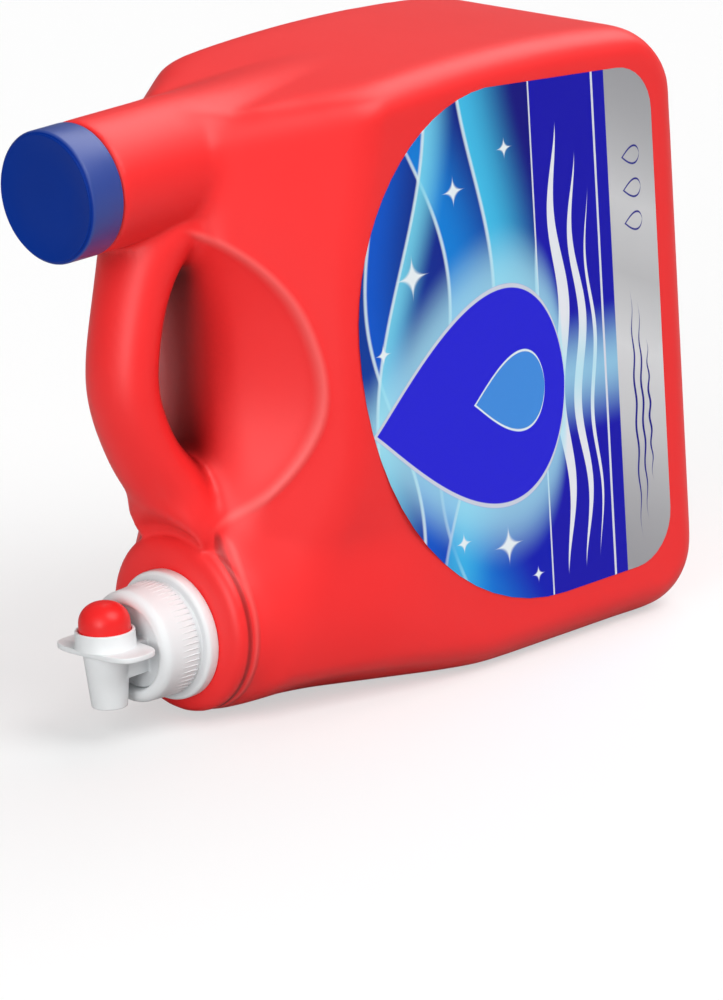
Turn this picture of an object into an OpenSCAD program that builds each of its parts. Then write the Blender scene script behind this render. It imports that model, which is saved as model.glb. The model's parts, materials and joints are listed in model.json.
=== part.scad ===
// Large detergent bottle that lies on its long side and pours through a press tap.
// +X runs from the tap to the base, -Y faces the printed panel and +Z is up.
// Sizes are laid out from the tap's axis, and place() then puts the origin at the middle of the footprint.

/* [Bottle] */
// Length from the mouth plane of the tap boss to the base
body_len = 212.5; // [203:0.5:229]
// Height of the bottle as it lies
body_h = 220; // [214:0.5:230]
// Thickness across the two flat panels
body_t = 108; // [101:1:115]
// Wall thickness
wall = 1.8; // [1.4:0.1:2.4]
// Height of the tap's axis above the surface that the bottle lies on
tap_height = 31.1; // [28.8:0.1:34.2]
// Rise of the long curved top above its ends
crown_h = 8.6; // [5.4:0.1:12.6]
// Corner radius between the top and the base
base_top_r = 32.4; // [25.2:0.1:39.6]
// Corner radius between the underside and the base
base_bottom_r = 23.4; // [16.2:0.1:30.6]
// Corner radius between the top and the front
shoulder_r = 27; // [21.6:0.1:36]
// Rounding of the long edges of the panels
edge_r = 13.1; // [9:0.1:16.2]
// Rounding of the upright edges at the base
base_edge_r = 10.3; // [7.2:0.1:14.4]
// Rounding of the edges at the front shoulder
shoulder_edge_r = 21.6; // [16.2:0.1:27]
// Depth of the recess in the base
base_recess = 1.6; // [0.9:0.1:2.1]

/* [Cheeks and scoop] */
// Distance from the mouth plane to the front of the flat panels
panel_front_x = 44.6; // [41.4:0.1:50.4]
// Sideways fall of the front cheeks for each millimetre forward
cheek_slope = 0.93; // [0.8:0.01:1.05]
// Fall of the upper cheek in the same way
upper_slope = 0.72; // [0.6:0.01:0.85]
// Fall of the lower cheek in the same way
lower_slope = 0.37; // [0.3:0.01:0.45]
// Lean of the panel's upper border from upright
upper_lean = 15.5; // [10:0.5:22]
// Lean of the panel's lower border from upright
lower_lean = 41; // [36:0.5:48]
// Softness of the fold between the panels and the cheeks
fold_blend = 4.5; // [1.8:0.1:6.3]
// Softness of the blend between the cheeks and the tap boss
boss_blend = 12.6; // [7.2:0.1:16.2]
// Radius of the ridge that rings the finger scoop
scoop_r = 65.7; // [61.2:0.1:70.2]
// Extra fall inside that ridge for each millimetre
scoop_slope = 1; // [0.8:0.01:1.15]
// Softness of the ridge
ridge_blend = 5.4; // [1.8:0.1:7.2]
// Distance of the scoop's centre in front of the mouth plane
scoop_x = 27.9; // [25.2:0.1:30.6]

/* [Handle] */
// Half depth of the handle's section, seen from the side
grip_a = 11.2; // [9.9:0.1:12.6]
// Half width of the handle's section
grip_b = 14.8; // [12.6:0.1:16.2]
// Distance of the handle's middle in front of the mouth plane
grip_x = 14.8; // [13.5:0.1:16.2]
// Distance of the rear wall of the finger hole behind the mouth plane
gap_x = 18.4; // [17.1:0.1:20.7]
// Radius of that rear wall, seen from the side
gap_r = 117; // [103.5:0.1:135]

/* [Neck and cap] */
// Depth of the neck's axis below the ends of the bottle's top
neck_drop = 14.7; // [12.9:0.1:18.3]
// Outer radius of the neck and cap
neck_r = 23.4; // [21.6:0.1:24.3]
// Length of the cap
cap_len = 15.3; // [13.5:0.1:18]
// Distance of the cap's front in front of the mouth plane
cap_reach = 44.8; // [43.2:0.1:47.7]
// Radius of the finish that the cap screws on
finish_r = 19.4; // [18:0.1:20.1]
// Wall of the cap
cap_wall = 1.6; // [1.4:0.1:2]
// Thickness of the cap's liner
liner_t = 1.2; // [0.8:0.1:1.6]

/* [Tap boss] */
// Height of the boss's middle above the tap's axis
boss_z = 3.1; // [1.8:0.1:4]
// Radius of the front lobe of the boss
lobe_r = 32.4; // [31.2:0.1:32.9]
// Rounding of the boss's front, across its axis
lobe_round = 7.2; // [5.4:0.1:8.1]
// Rounding of the boss's front, along its axis
lobe_deep = 4.5; // [3.6:0.1:5.4]
// Depth of the ring groove behind the lobe
groove_d = 1; // [0.6:0.1:1.4]

/* [Tap] */
// Radius of the tap's neck on the bottle
mouth_r = 17.1; // [16.8:0.1:17.3]
// Length of that neck
mouth_len = 13.5; // [13:0.1:13.8]
// Radius of the collar's retaining band
band_r = 23.1; // [22.5:0.1:23.5]
// Width of that band
band_w = 4.9; // [4.4:0.1:5.4]
// Radius of the collar's skirt
skirt_r = 20.2; // [20:0.1:20.7]
// Length of the collar from the mouth plane to its front
collar_len = 22.1; // [22:0.1:22.6]
// Rounding of the collar's front
collar_round = 3.2; // [2.7:0.1:3.6]
// Distance of the barrel's axis in front of the mouth plane
barrel_x = 30.8; // [30.5:0.1:31.5]
// Radius of the barrel under the finger wings
barrel_r = 8.5; // [8.1:0.1:9]
// Radius of the spout's outlet end
spout_r = 6.3; // [6.2:0.1:6.8]
// Distance of the outlet below the tap's axis
spout_drop = 18.3; // [17.1:0.1:18.9]
// Half width of the block between the collar and the barrel
stub_y = 6.8; // [6.3:0.1:7.2]
// Depth of that block below the tap's axis
stub_z = 8.1; // [7.6:0.1:8.6]
// Span of the finger wings from tip to tip
wing_span = 38.7; // [34.2:0.1:41.4]
// Width of the wings at the barrel
wing_w = 18.9; // [18:0.1:19.4]
// Thickness of the wings
wing_t = 2; // [1.7:0.1:2.1]
// Outer radius of the ring round the button
ring_r = 10.7; // [10.5:0.1:11.1]
// Height of that ring's top above the tap's axis
ring_z = 9.4; // [8.7:0.1:10]

/* [Button and valve] */
// Radius of the button
button_r = 9.1; // [8.9:0.1:9.1]
// Height of the button's top above the tap's axis
button_z = 19.3; // [18.6:0.1:19.9]
// Height of the button's round top
dome_h = 7.7; // [6.8:0.1:8.1]
// Wall of the button
button_wall = 1.2; // [1:0.1:1.4]
// Travel of the button
press_travel = 3.6; // [2.8:0.1:3.7]
// Radius of the valve stem
stem_r = 1.7; // [1.5:0.1:1.8]
// Radius of the valve plug
plug_r = 4.5; // [4.2:0.1:4.6]
// Coils of the return spring
spring_turns = 3.5; // [3:0.5:4]
// Wire radius of the return spring
wire_r = 0.45; // [0.35:0.05:0.5]

/* [Label] */
// Thickness of the printed film
label_t = 0.25; // [0.15:0.05:0.4]
// Distance of the label's front tip behind the mouth plane
label_front_x = 46.8; // [45:0.1:50.4]
// Distance of the label's straight end from the base
label_inset = 16.2; // [14.4:0.1:21.6]
// Margin between the label's top and the ends of the bottle's top
label_top_gap = 2.3; // [1.2:0.1:5.7]
// Margin between the label's bottom and the surface that the bottle lies on
label_bottom_gap = 20.1; // [19.4:0.1:25.7]
// Corner radius of the label's straight end
label_corner_r = 18; // [12.6:0.1:21.6]
// Reach of the label's upper curve behind its tip
label_upper_run = 67.5; // [61.2:0.1:73.8]
// Reach of the label's lower curve behind its tip
label_lower_run = 94.5; // [86.4:0.1:100.8]
// Fall of the label's top towards the base
label_fall = 8.1; // [4.5:0.1:10.8]

/* [Hidden] */
$fn = 64;

// One overrun for every cut, one running clearance and one gap for soft seals
over = 1;
clear = 0.25;
seal_gap = 0.1;

// Levels of the bottle, from the tap's axis
floor_z = -tap_height;
top_z = body_h - tap_height;
chord_z = top_z - crown_h;
half_t = body_t / 2;

// Heights that lie between the boss and the neck, as shares of the way up
neck_z = chord_z - neck_drop;
scoop_share = 0.5403;
upper_point_share = 0.8062;
lower_point_share = 0.3188;
function rise(share) = boss_z + share * (neck_z - boss_z);
scoop_z = rise(scoop_share);

// Places of the boss's lobe, groove and root behind the mouth plane
mouth_x = 1.1;
boss_back_x = 7.2;
mid_x = (body_len + boss_back_x) / 2;
groove_gap = 2;
groove_x = mouth_x + lobe_deep + groove_gap;
groove_w = 1.4;
boss_r = tap_height + boss_z;
boss_root_x = 41.4;
boss_swell_x = 18;
front_round = 10.8;

// Vector helpers
function unit(v) = v / norm(v);
function mix(a, b, share) = a + (b - a) * share;
function clamp01(v) = min(1, max(0, v));
// Smooth least and greatest of two heights, blended over a width
function soft_min(a, b, width) = min(a, b) - pow(max(width - abs(a - b), 0), 2) / (4 * width);
function soft_max(a, b, width) = -soft_min(-a, -b, width);

// Points of the round corner at b on the way from a to c
function corner(a, b, c, r, steps) =
    let(u = unit(a - b), v = unit(c - b), turn = 180 - acos(u * v), reach = r * tan(turn / 2))
    let(middle = b + unit(u + v) * r / cos(turn / 2), first = b + u * reach - middle)
    let(last = b + v * reach - middle)
    [for (i = [0:steps])
        middle + (first * sin(turn * (1 - i / steps)) + last * sin(turn * i / steps)) / sin(turn)];
// Points strictly between a and b
function between(a, b, steps) = [for (i = [1:steps - 1]) mix(a, b, i / steps)];
function last(list) = list[len(list) - 1];

// Middle height of the rear wall of the finger hole and the arc's centre
gap_centre_x = gap_x - gap_r;
gap_low_rise = 0.9;
gap_high_drop = 5.4;
gap_low_z = boss_z + boss_r + gap_low_rise;
gap_high_z = neck_z - neck_r - gap_high_drop;
function gap_at(z) = [gap_centre_x + sqrt(gap_r * gap_r - pow(z - scoop_z, 2)), z];

// Gentle crown of the top: it lifts the flat outline along a parabola, more the higher a point lies
function crowned(p) =
    let(along = (p[0] - mid_x) / (body_len - mid_x))
    [p[0], p[1] + crown_h * max(0, 1 - along * along) * max(0, p[1]) / chord_z];

// Side outline of the bottle without its neck, handle and boss, all round from the lower base corner
base_low = [body_len, floor_z];
base_high = [body_len, chord_z];
front_high = [gap_at(gap_high_z)[0], chord_z];
front_low = [boss_back_x, floor_z];
arc_bottom = corner(front_low, base_low, base_high, base_bottom_r, 6);
arc_top = corner(base_low, base_high, front_high, base_top_r, 7);
arc_shoulder = corner(base_high, front_high, gap_at(gap_high_z), shoulder_r, 8);
arc_front = corner(gap_at(gap_low_z), front_low, base_low, front_round, 4);
flat_outline = concat(
    arc_bottom, between(last(arc_bottom), arc_top[0], 4),
    arc_top, between(last(arc_top), arc_shoulder[0], 9),
    arc_shoulder, between(last(arc_shoulder), gap_at(gap_high_z), 3),
    [for (i = [0:10]) gap_at(mix(gap_high_z, gap_low_z, i / 10))],
    between(gap_at(gap_low_z), arc_front[0], 5),
    arc_front, between(last(arc_front), arc_bottom[0], 12));
outline = [for (p = flat_outline) crowned(p)];
// The cavity follows every second point of that outline, one wall further in
function inward(path, j) =
    let(n = len(path), run = unit(path[(j + 1) % n] - path[(j + n - 1) % n]))
    [-run[1], run[0]];
base_inset = wall + base_recess;
cavity_outline = [for (j = [0:2:len(outline) - 1])
    let(p = outline[j] + wall * inward(outline, j)) [min(p[0], body_len - base_inset), p[1]]];

// Half thickness of the bottle over a point of the side view
upper_point_in = 3.6;
lower_point_in = 1.8;
upper_point = [panel_front_x + upper_point_in, rise(upper_point_share)];
lower_point = [panel_front_x + lower_point_in, rise(lower_point_share)];
function front_cheek(x) = half_t + cheek_slope * (x - panel_front_x);
function upper_cheek(x, z) =
    half_t + upper_slope * ((x - upper_point[0]) * cos(upper_lean) - (z - upper_point[1]) * sin(upper_lean));
function lower_cheek(x, z) =
    half_t + lower_slope * ((x - lower_point[0]) * cos(lower_lean) + (z - lower_point[1]) * sin(lower_lean));
boss_swell_share = 0.29;
function boss_cone(x, z) =
    let(r = boss_r + boss_swell_share * max(0, x - groove_x)) sqrt(max(0, r * r - pow(z - boss_z, 2)));
function scoop(x, z) =
    front_cheek(x) + scoop_slope * (norm([x + scoop_x, z - scoop_z]) - scoop_r);
function half_at(x, z) =
    let(upper = soft_min(front_cheek(x), upper_cheek(x, z), fold_blend))
    let(cheeks = soft_min(upper, lower_cheek(x, z), fold_blend))
    let(swollen = soft_max(cheeks, boss_cone(x, z), boss_blend))
    soft_min(soft_min(swollen, scoop(x, z), ridge_blend), half_t, fold_blend);

// Rounding of the long edges: round under the boss, slight in front, wide at the shoulder, tight at the base
round_start_x = boss_root_x;
round_end_x = 100.8;
front_edge_r = 5.4;
function edge_at(x, z) =
    let(low_r = mix(tap_height, front_edge_r, clamp01((z - floor_z) / tap_height)))
    let(front_r = mix(low_r, shoulder_edge_r, clamp01((z - gap_high_z) / shoulder_r)))
    let(side_r = mix(front_r, edge_r, clamp01((x - round_start_x) / (round_end_x - round_start_x))))
    mix(side_r, base_edge_r, clamp01((x - body_len + base_top_r) / base_top_r));

// Closed skin of two mirrored half shells: rings step in from the outline round the edge, then to the middle
least_rim = 0.4;
edge_steps = 5;
inner_shares = [0.05, 0.1, 0.15, 0.2, 0.26, 0.32, 0.39, 0.47, 0.57, 0.7, 0.85];
cavity_shares = [0.08, 0.18, 0.3, 0.45, 0.7];
hub = [mid_x, (top_z + floor_z) / 2];
function mirrored(face, side) = [face[0] + side, face[2] + side, face[1] + side];
module shell(path, thin, shares) {
    n = len(path);
    rim_h = [for (p = path) max(2 * least_rim, half_at(p[0], p[1]) - thin)];
    rim_r = [for (j = [0:n - 1]) min(edge_at(path[j][0], path[j][1]) - thin, rim_h[j] - least_rim)];
    reach = [for (p = path) norm(hub - p)];
    lean = [for (j = [0:n - 1]) inward(path, j) * unit(hub - path[j])];
    half_ring = [for (i = [0:edge_steps]) [for (j = [0:n - 1])
        let(a = 90 * i / edge_steps, p = mix(path[j], hub, rim_r[j] * (1 - cos(a)) / (lean[j] * reach[j])))
        let(h = max(2 * least_rim, half_at(p[0], p[1]) - thin))
        [p[0], max(least_rim, h - rim_r[j] * (1 - sin(a))), p[1]]]];
    start = [for (j = [0:n - 1]) rim_r[j] / (lean[j] * reach[j])];
    inner_ring = [for (share = shares) [for (j = [0:n - 1])
        let(p = mix(path[j], hub, mix(start[j], 1, share)))
        [p[0], max(2 * least_rim, half_at(p[0], p[1]) - thin), p[1]]]];
    rings = concat(half_ring, inner_ring);
    m = len(rings);
    middle = [hub[0], half_at(hub[0], hub[1]) - thin, hub[1]];
    near = [for (ring = rings) each [for (p = ring) [p[0], -p[1], p[2]]]];
    far = [for (ring = rings) each ring];
    side = n * m;
    points = concat(far, near, [middle, [middle[0], -middle[1], middle[2]]]);
    wraps = [for (i = [0:m - 2], j = [0:n - 1])
        let(a = i * n + j, b = i * n + (j + 1) % n, c = b + n, d = a + n)
        let(across = norm(points[a] - points[c]) > norm(points[b] - points[d]))
        let(first = across ? [a, b, d] : [a, b, c], second = across ? [b, c, d] : [a, c, d])
        each [first, second, mirrored(first, side), mirrored(second, side)]];
    rim = [for (j = [0:n - 1]) let(a = j, b = (j + 1) % n)
        each [[a, a + side, b + side], [a, b + side, b]]];
    caps = [for (j = [0:n - 1]) let(a = (m - 1) * n + j, b = (m - 1) * n + (j + 1) % n)
        each [[a, b, 2 * side], [a + side, 2 * side + 1, b + side]]];
    polyhedron(points, concat(wraps, rim, caps));
}

// Handle: an oval tube along a smooth curve through stations set back from its front, by shares of the way up
grip_backs = [31.5, 15.3, 5.9, 0, 0.9, 8.1, 17.6, 20.7, 28.5];
grip_shares = [0.9335, 0.8505, 0.7342, 0.5902, 0.496, 0.3852, 0.3022, 0.2148, 0.1348];
grip_stations = [for (i = [0:len(grip_backs) - 1]) [grip_backs[i] - grip_x, rise(grip_shares[i])]];
grip_swell_shares = [1.35, 1.2, 1.02, 1, 1, 1.02, 1.12, 1.27, 0.8];
grip_steps = 4;
function curve_at(list, i, t) =
    let(n = len(list) - 1, a = list[max(0, i - 1)], b = list[i])
    let(c = list[min(n, i + 1)], d = list[min(n, i + 2)])
    (2 * b + t * (c - a) + t * t * (2 * a - 5 * b + 4 * c - d) + pow(t, 3) * (3 * b - a - 3 * c + d)) / 2;
grip_line = concat(
    [for (i = [0:len(grip_stations) - 2], k = [0:grip_steps - 1]) curve_at(grip_stations, i, k / grip_steps)],
    [last(grip_stations)]);
grip_swell = concat(
    [for (i = [0:len(grip_stations) - 2], k = [0:grip_steps - 1])
        curve_at(grip_swell_shares, i, k / grip_steps)],
    [last(grip_swell_shares)]);
module grip_tube(thin, sides) {
    n = len(grip_line);
    points = [for (i = [0:n - 1], k = [0:sides - 1])
        let(run = unit(grip_line[min(n - 1, i + 1)] - grip_line[max(0, i - 1)]), a = 360 * k / sides)
        let(out = [-run[1], run[0]], s = grip_swell[i])
        let(u = (grip_a * s - thin) * cos(a), v = (grip_b * s - thin) * sin(a))
        [grip_line[i][0] + out[0] * u, v, grip_line[i][1] + out[1] * u]];
    walls = [for (i = [0:n - 2], k = [0:sides - 1])
        let(a = i * sides + k, b = i * sides + (k + 1) % sides)
        each [[a, b, b + sides], [a, b + sides, a + sides]]];
    ends = concat([[for (k = [sides - 1:-1:0]) k]], [[for (k = [0:sides - 1]) (n - 1) * sides + k]]);
    polyhedron(points, concat(walls, ends));
}

// Puts what is drawn along +Z onto an axis that points forward, to -X
module forward(x, z) {
    translate([x, 0, z]) rotate([0, -90, 0]) children();
}
module forward_rod(r, from_x, to_x, z) {
    forward(to_x, z) cylinder(r = r, h = to_x - from_x);
}

// Turned profile of the boss, as [radius, distance behind the mouth plane]
swell_out_share = 0.75;
swell_back_share = 0.6;
lobe_steps = 6;
boss_profile = concat(
    [[0, mouth_x]],
    [for (i = [0:lobe_steps]) let(a = 90 * i / lobe_steps)
        [lobe_r - lobe_round * (1 - sin(a)), mouth_x + lobe_deep * (1 - cos(a))]],
    [[lobe_r - groove_d, groove_x], [lobe_r, groove_x + groove_w]],
    [[mix(lobe_r, boss_r, swell_out_share), mix(groove_x, boss_swell_x, swell_back_share)]],
    [[boss_r, boss_swell_x], [boss_r, boss_root_x], [0, boss_root_x]]);

// Neck lengths: the neck proper, and the finish inside the cap
cap_rear_x = -cap_reach + cap_len;
finish_front_x = -cap_reach + cap_wall + liner_t;
neck_root_x = 55.8;
neck_bore_r = neck_r - wall;
finish_bore_r = finish_r - wall;
mouth_front_x = mouth_x - mouth_len;
mouth_bore_r = mouth_r - wall;

module place() {
    translate([(cap_reach - body_len) / 2, label_t / 2, tap_height]) children();
}

panel_wall_share = 1.5;
recess_margin = 14.4;
module base_cut() {
    low = floor_z + base_bottom_r + recess_margin;
    high = chord_z - base_top_r - recess_margin / 2;
    half = half_t - base_edge_r - recess_margin;
    translate([body_len - base_recess, 0, 0]) hull() {
        for (y = [-half, half], z = [low, high])
            translate([0, y, z]) rotate([0, 90, 0])
                cylinder(r = recess_margin / 2, h = base_recess + over, $fn = 24);
    }
}

module bottle_body() {
    color([0.86, 0.07, 0.07]) place() difference() {
        union() {
            shell(outline, 0, inner_shares);
            grip_tube(0, 20);
            translate([0, 0, boss_z]) rotate([0, 90, 0]) rotate_extrude() polygon(boss_profile);
            forward_rod(neck_r, cap_rear_x, neck_root_x, neck_z);
            forward_rod(finish_r, finish_front_x, cap_rear_x + over, neck_z);
            forward_rod(mouth_r, mouth_front_x, mouth_x + over, 0);
        }
        shell(cavity_outline, panel_wall_share * wall, cavity_shares);
        translate([mouth_x + wall, 0, boss_z]) rotate([0, 90, 0])
            cylinder(r = lobe_r - lobe_round, h = boss_root_x - mouth_x - 2 * wall);
        grip_tube(wall, 12);
        forward_rod(neck_bore_r, cap_rear_x + wall, neck_root_x - wall, neck_z);
        forward_rod(finish_bore_r, finish_front_x - over, cap_rear_x + wall + over, neck_z);
        forward_rod(mouth_bore_r, mouth_front_x - over, boss_root_x - wall, 0);
        base_cut();
    }
}

// Label outline: two quarter ellipses meet at the front tip, and the straight end has round corners
label_end_x = body_len - label_inset;
label_top_z = chord_z - label_top_gap;
label_bottom_z = floor_z + label_bottom_gap;
label_tip_share = 0.5915;
label_tip_z = mix(label_bottom_z, label_top_z, label_tip_share);
label_steps = 16;
label_low = [label_end_x, label_bottom_z];
label_high = [label_end_x, label_top_z - label_fall];
label_upper_start = [label_front_x + label_upper_run, label_top_z];
label_lower_start = [label_front_x + label_lower_run, label_bottom_z];
label_outline = concat(
    [for (i = [0:label_steps]) let(a = 90 * i / label_steps) [
        label_upper_start[0] - label_upper_run * cos(a),
        label_tip_z + (label_top_z - label_tip_z) * sin(a)]],
    corner(label_upper_start, label_high, label_low, label_corner_r, 8),
    corner(label_high, label_low, label_lower_start, label_corner_r, 8),
    [for (i = [0:label_steps - 1]) let(a = 90 * i / label_steps)
        [label_lower_start[0] - label_lower_run * sin(a), label_tip_z - (label_tip_z - label_bottom_z) * cos(a)]]);
module front_label() {
    color([0.1, 0.12, 0.75]) place()
        translate([0, -half_t, 0]) rotate([90, 0, 0]) linear_extrude(label_t) polygon(label_outline);
}

// Vent cap: a plain cup with a slightly dished face inside a fine rim
cap_gap = 0.4;
cap_edge = 1.2;
cap_dish = 0.35;
cap_rim = 1.4;
module vent_cap() {
    color([0.07, 0.2, 0.5]) place() forward(-cap_reach + cap_len, neck_z) rotate_extrude() polygon([
        [neck_r - cap_wall, cap_gap], [neck_r, cap_gap],
        [neck_r, cap_len - cap_edge], [neck_r - cap_edge / 3, cap_len - cap_edge / 3], [neck_r - cap_edge, cap_len],
        [neck_r - cap_edge - cap_rim, cap_len], [neck_r - cap_edge - cap_rim - cap_dish, cap_len - cap_dish],
        [0, cap_len - cap_dish], [0, cap_len - cap_wall], [neck_r - cap_wall, cap_len - cap_wall]]);
}
module cap_liner() {
    color([0.93, 0.93, 0.9]) place()
        forward_rod(neck_r - cap_wall - clear, -cap_reach + cap_wall, -cap_reach + cap_wall + liner_t, neck_z);
}

// Stack inside the collar: the bottle's mouth, the gasket, the tap's flange and the collar's lip
gasket_t = 1.1;
gasket_in = 0.5;
flange_t = 1.4;
flange_in = 1;
lip_in = 2.2;
flange_x = mouth_front_x - gasket_t;
collar_seat_x = flange_x - flange_t;
collar_front_x = mouth_x - collar_len;
hub_x = -17.3;
hub_r = mouth_r - lip_in;
band_round = 1.4;
band_groove_w = 1.4;
groove_rise = 0.5;
rim_share = 0.35;
collar_steps = 6;
rim_r = mix(skirt_r - collar_round, hub_r, rim_share);
// Outer profile of the collar, as [radius, distance forward of the mouth plane]
collar_profile = concat(
    [[mouth_r + clear, 0], [band_r - band_round / 3, 0], [band_r, band_round / 3]],
    [for (i = [0:collar_steps]) let(a = 90 * i / collar_steps)
        [band_r - band_round * (1 - cos(a)), band_w - band_round * (1 - sin(a))]],
    [[skirt_r - groove_rise, band_w + groove_rise], [skirt_r - groove_rise, band_w + band_groove_w / 2],
        [skirt_r, band_w + band_groove_w]],
    [for (i = [0:collar_steps]) let(a = 90 * i / collar_steps)
        [skirt_r - collar_round * (1 - cos(a)), collar_len - collar_round * (1 - sin(a))]],
    [for (i = [1:collar_steps]) let(a = 90 * i / collar_steps)
        [mix(rim_r, hub_r + clear, sin(a)), mix(mouth_x - hub_x, collar_len, cos(a))]],
    [[hub_r + clear, mouth_x - collar_seat_x], [mouth_r + clear, mouth_x - collar_seat_x]]);
module tap_collar() {
    color([0.94, 0.94, 0.94]) place() forward(mouth_x, 0) rotate_extrude() polygon(collar_profile);
}
module neck_gasket() {
    color([0.75, 0.76, 0.78]) place() difference() {
        forward_rod(mouth_r - gasket_in, flange_x, mouth_front_x, 0);
        forward_rod(mouth_bore_r, flange_x - over, mouth_front_x + over, 0);
    }
}

// Levels inside the barrel, from the tap's axis
plate_z = 3.4;
roof_z = 2.7;
roof_t = 1.4;
roof_r = button_r - button_wall - 2 * clear;
seat_z = -5.2;
seat_t = 1.3;
seat_r = 3.2;
chamber_r = 6.3;
inlet_r = 3.5;
inlet_z = -1.3;
outlet_wall = 1.2;
seal_pocket_r = 3.2;
seal_pocket_d = 1.1;
plate_bottom_z = plate_z - wing_t;
roof_top_z = roof_z + roof_t;
wing_steps = 72;
wing_power = 3.5;
module at_barrel(z) {
    translate([-barrel_x, 0, z]) children();
}
function squared(v) = sign(v) * pow(abs(v), 2 / wing_power);
module wings() {
    at_barrel(plate_bottom_z) linear_extrude(wing_t) polygon([for (i = [0:wing_steps - 1])
        let(a = 360 * i / wing_steps) [wing_w / 2 * squared(cos(a)), wing_span / 2 * squared(sin(a))]]);
}
module tap_body() {
    color([0.96, 0.96, 0.96]) place() difference() {
        union() {
            forward_rod(mouth_r - flange_in, collar_seat_x, flange_x, 0);
            forward_rod(hub_r, hub_x, collar_seat_x, 0);
            translate([-barrel_x, -stub_y, -stub_z]) cube([barrel_x + hub_x, 2 * stub_y, stub_z + plate_z]);
            wings();
            at_barrel(-spout_drop) cylinder(r1 = spout_r, r2 = barrel_r, h = spout_drop + plate_z);
            at_barrel(plate_bottom_z) cylinder(r = roof_r, h = roof_top_z - plate_bottom_z);
        }
        at_barrel(seat_z) cylinder(r = chamber_r, h = roof_z - seat_z);
        at_barrel(seat_z - seat_t - over) cylinder(r = seat_r, h = seat_t + 2 * over);
        at_barrel(-spout_drop) cylinder(r1 = spout_r - outlet_wall, r2 = chamber_r,
            h = spout_drop + seat_z - seat_t);
        at_barrel(-spout_drop - over) cylinder(r = spout_r - outlet_wall, h = 2 * over);
        at_barrel(roof_z - over) cylinder(r = stem_r + clear, h = roof_t + 2 * over);
        at_barrel(roof_top_z - seal_pocket_d) cylinder(r = seal_pocket_r, h = seal_pocket_d + over);
        forward_rod(inlet_r, -barrel_x, flange_x + over, inlet_z);
    }
}

// Ring that keeps the button: a drafted wall with a lip over the button's foot
lip_t = 1.1;
foot_t = 0.9;
foot_out = 0.5;
ring_wall = 0.8;
ring_draft = 0.3;
ring_edge = 0.4;
module button_retainer() {
    color([0.95, 0.95, 0.95]) place() at_barrel(0) rotate_extrude() polygon([
        [ring_r - ring_wall, plate_z], [ring_r, plate_z], [ring_r - ring_draft, ring_z - ring_edge],
        [ring_r - ring_draft - ring_edge, ring_z], [button_r + clear, ring_z], [button_r + clear, ring_z - lip_t],
        [ring_r - ring_wall, ring_z - lip_t]]);
}

// Push button: a foot under the ring's lip, an upright skirt and an elliptical dome, hollow with a ledge for the stem
dome_steps = 10;
head_t = 1.3;
ledge_w = 0.9;
foot_top_z = ring_z - lip_t - clear;
dome_z = button_z - dome_h;
ledge_z = dome_z + head_t;
pocket_h = button_z - button_wall - ledge_z;
pocket_r = button_r - button_wall - ledge_w;
module push_button() {
    color([0.85, 0.08, 0.08]) place() at_barrel(0) rotate_extrude() polygon(concat(
        [[button_r - button_wall, foot_top_z - foot_t], [button_r + foot_out, foot_top_z - foot_t],
            [button_r + foot_out, foot_top_z], [button_r, foot_top_z]],
        [for (i = [0:dome_steps]) let(a = 90 * i / dome_steps) [button_r * cos(a), dome_z + dome_h * sin(a)]],
        [for (i = [dome_steps:-1:0]) let(a = 90 * i / dome_steps) [pocket_r * cos(a), ledge_z + pocket_h * sin(a)]],
        [[button_r - button_wall, ledge_z]]));
}

// Valve: the stem hangs from its head in the button, and the clip holds the plug up against the seat
plug_t = 2.3;
plug_taper = 0.7;
clip_t = 1.1;
clip_r = 2.6;
stem_tail = 0.5;
plug_top_z = seat_z - seat_t;
plug_low_z = plug_top_z - plug_t;
head_z = ledge_z - head_t;
module valve_stem() {
    color([0.92, 0.92, 0.92]) place() {
        at_barrel(head_z) cylinder(r = button_r - button_wall - seal_gap, h = head_t);
        at_barrel(plug_low_z - clip_t - stem_tail) cylinder(r = stem_r, h = head_z - plug_low_z + clip_t + stem_tail);
    }
}
module valve_plug() {
    color([0.25, 0.26, 0.28]) place() at_barrel(0) rotate_extrude() polygon([
        [stem_r, plug_low_z], [plug_r - plug_taper, plug_low_z], [plug_r, plug_top_z - plug_t / 2],
        [plug_r, plug_top_z], [stem_r, plug_top_z]]);
}
module stem_clip() {
    color([0.92, 0.92, 0.92]) place() at_barrel(0) rotate_extrude() polygon([
        [stem_r, plug_low_z - clip_t], [clip_r - clip_t / 4, plug_low_z - clip_t], [clip_r, plug_low_z],
        [stem_r, plug_low_z]]);
}
module stem_seal() {
    color([0.25, 0.26, 0.28]) place() at_barrel(roof_top_z - seal_pocket_d) difference() {
        cylinder(r = seal_pocket_r - seal_gap, h = seal_pocket_d - seal_gap);
        translate([0, 0, -over]) cylinder(r = stem_r + seal_gap, h = seal_pocket_d + 2 * over);
    }
}

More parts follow.
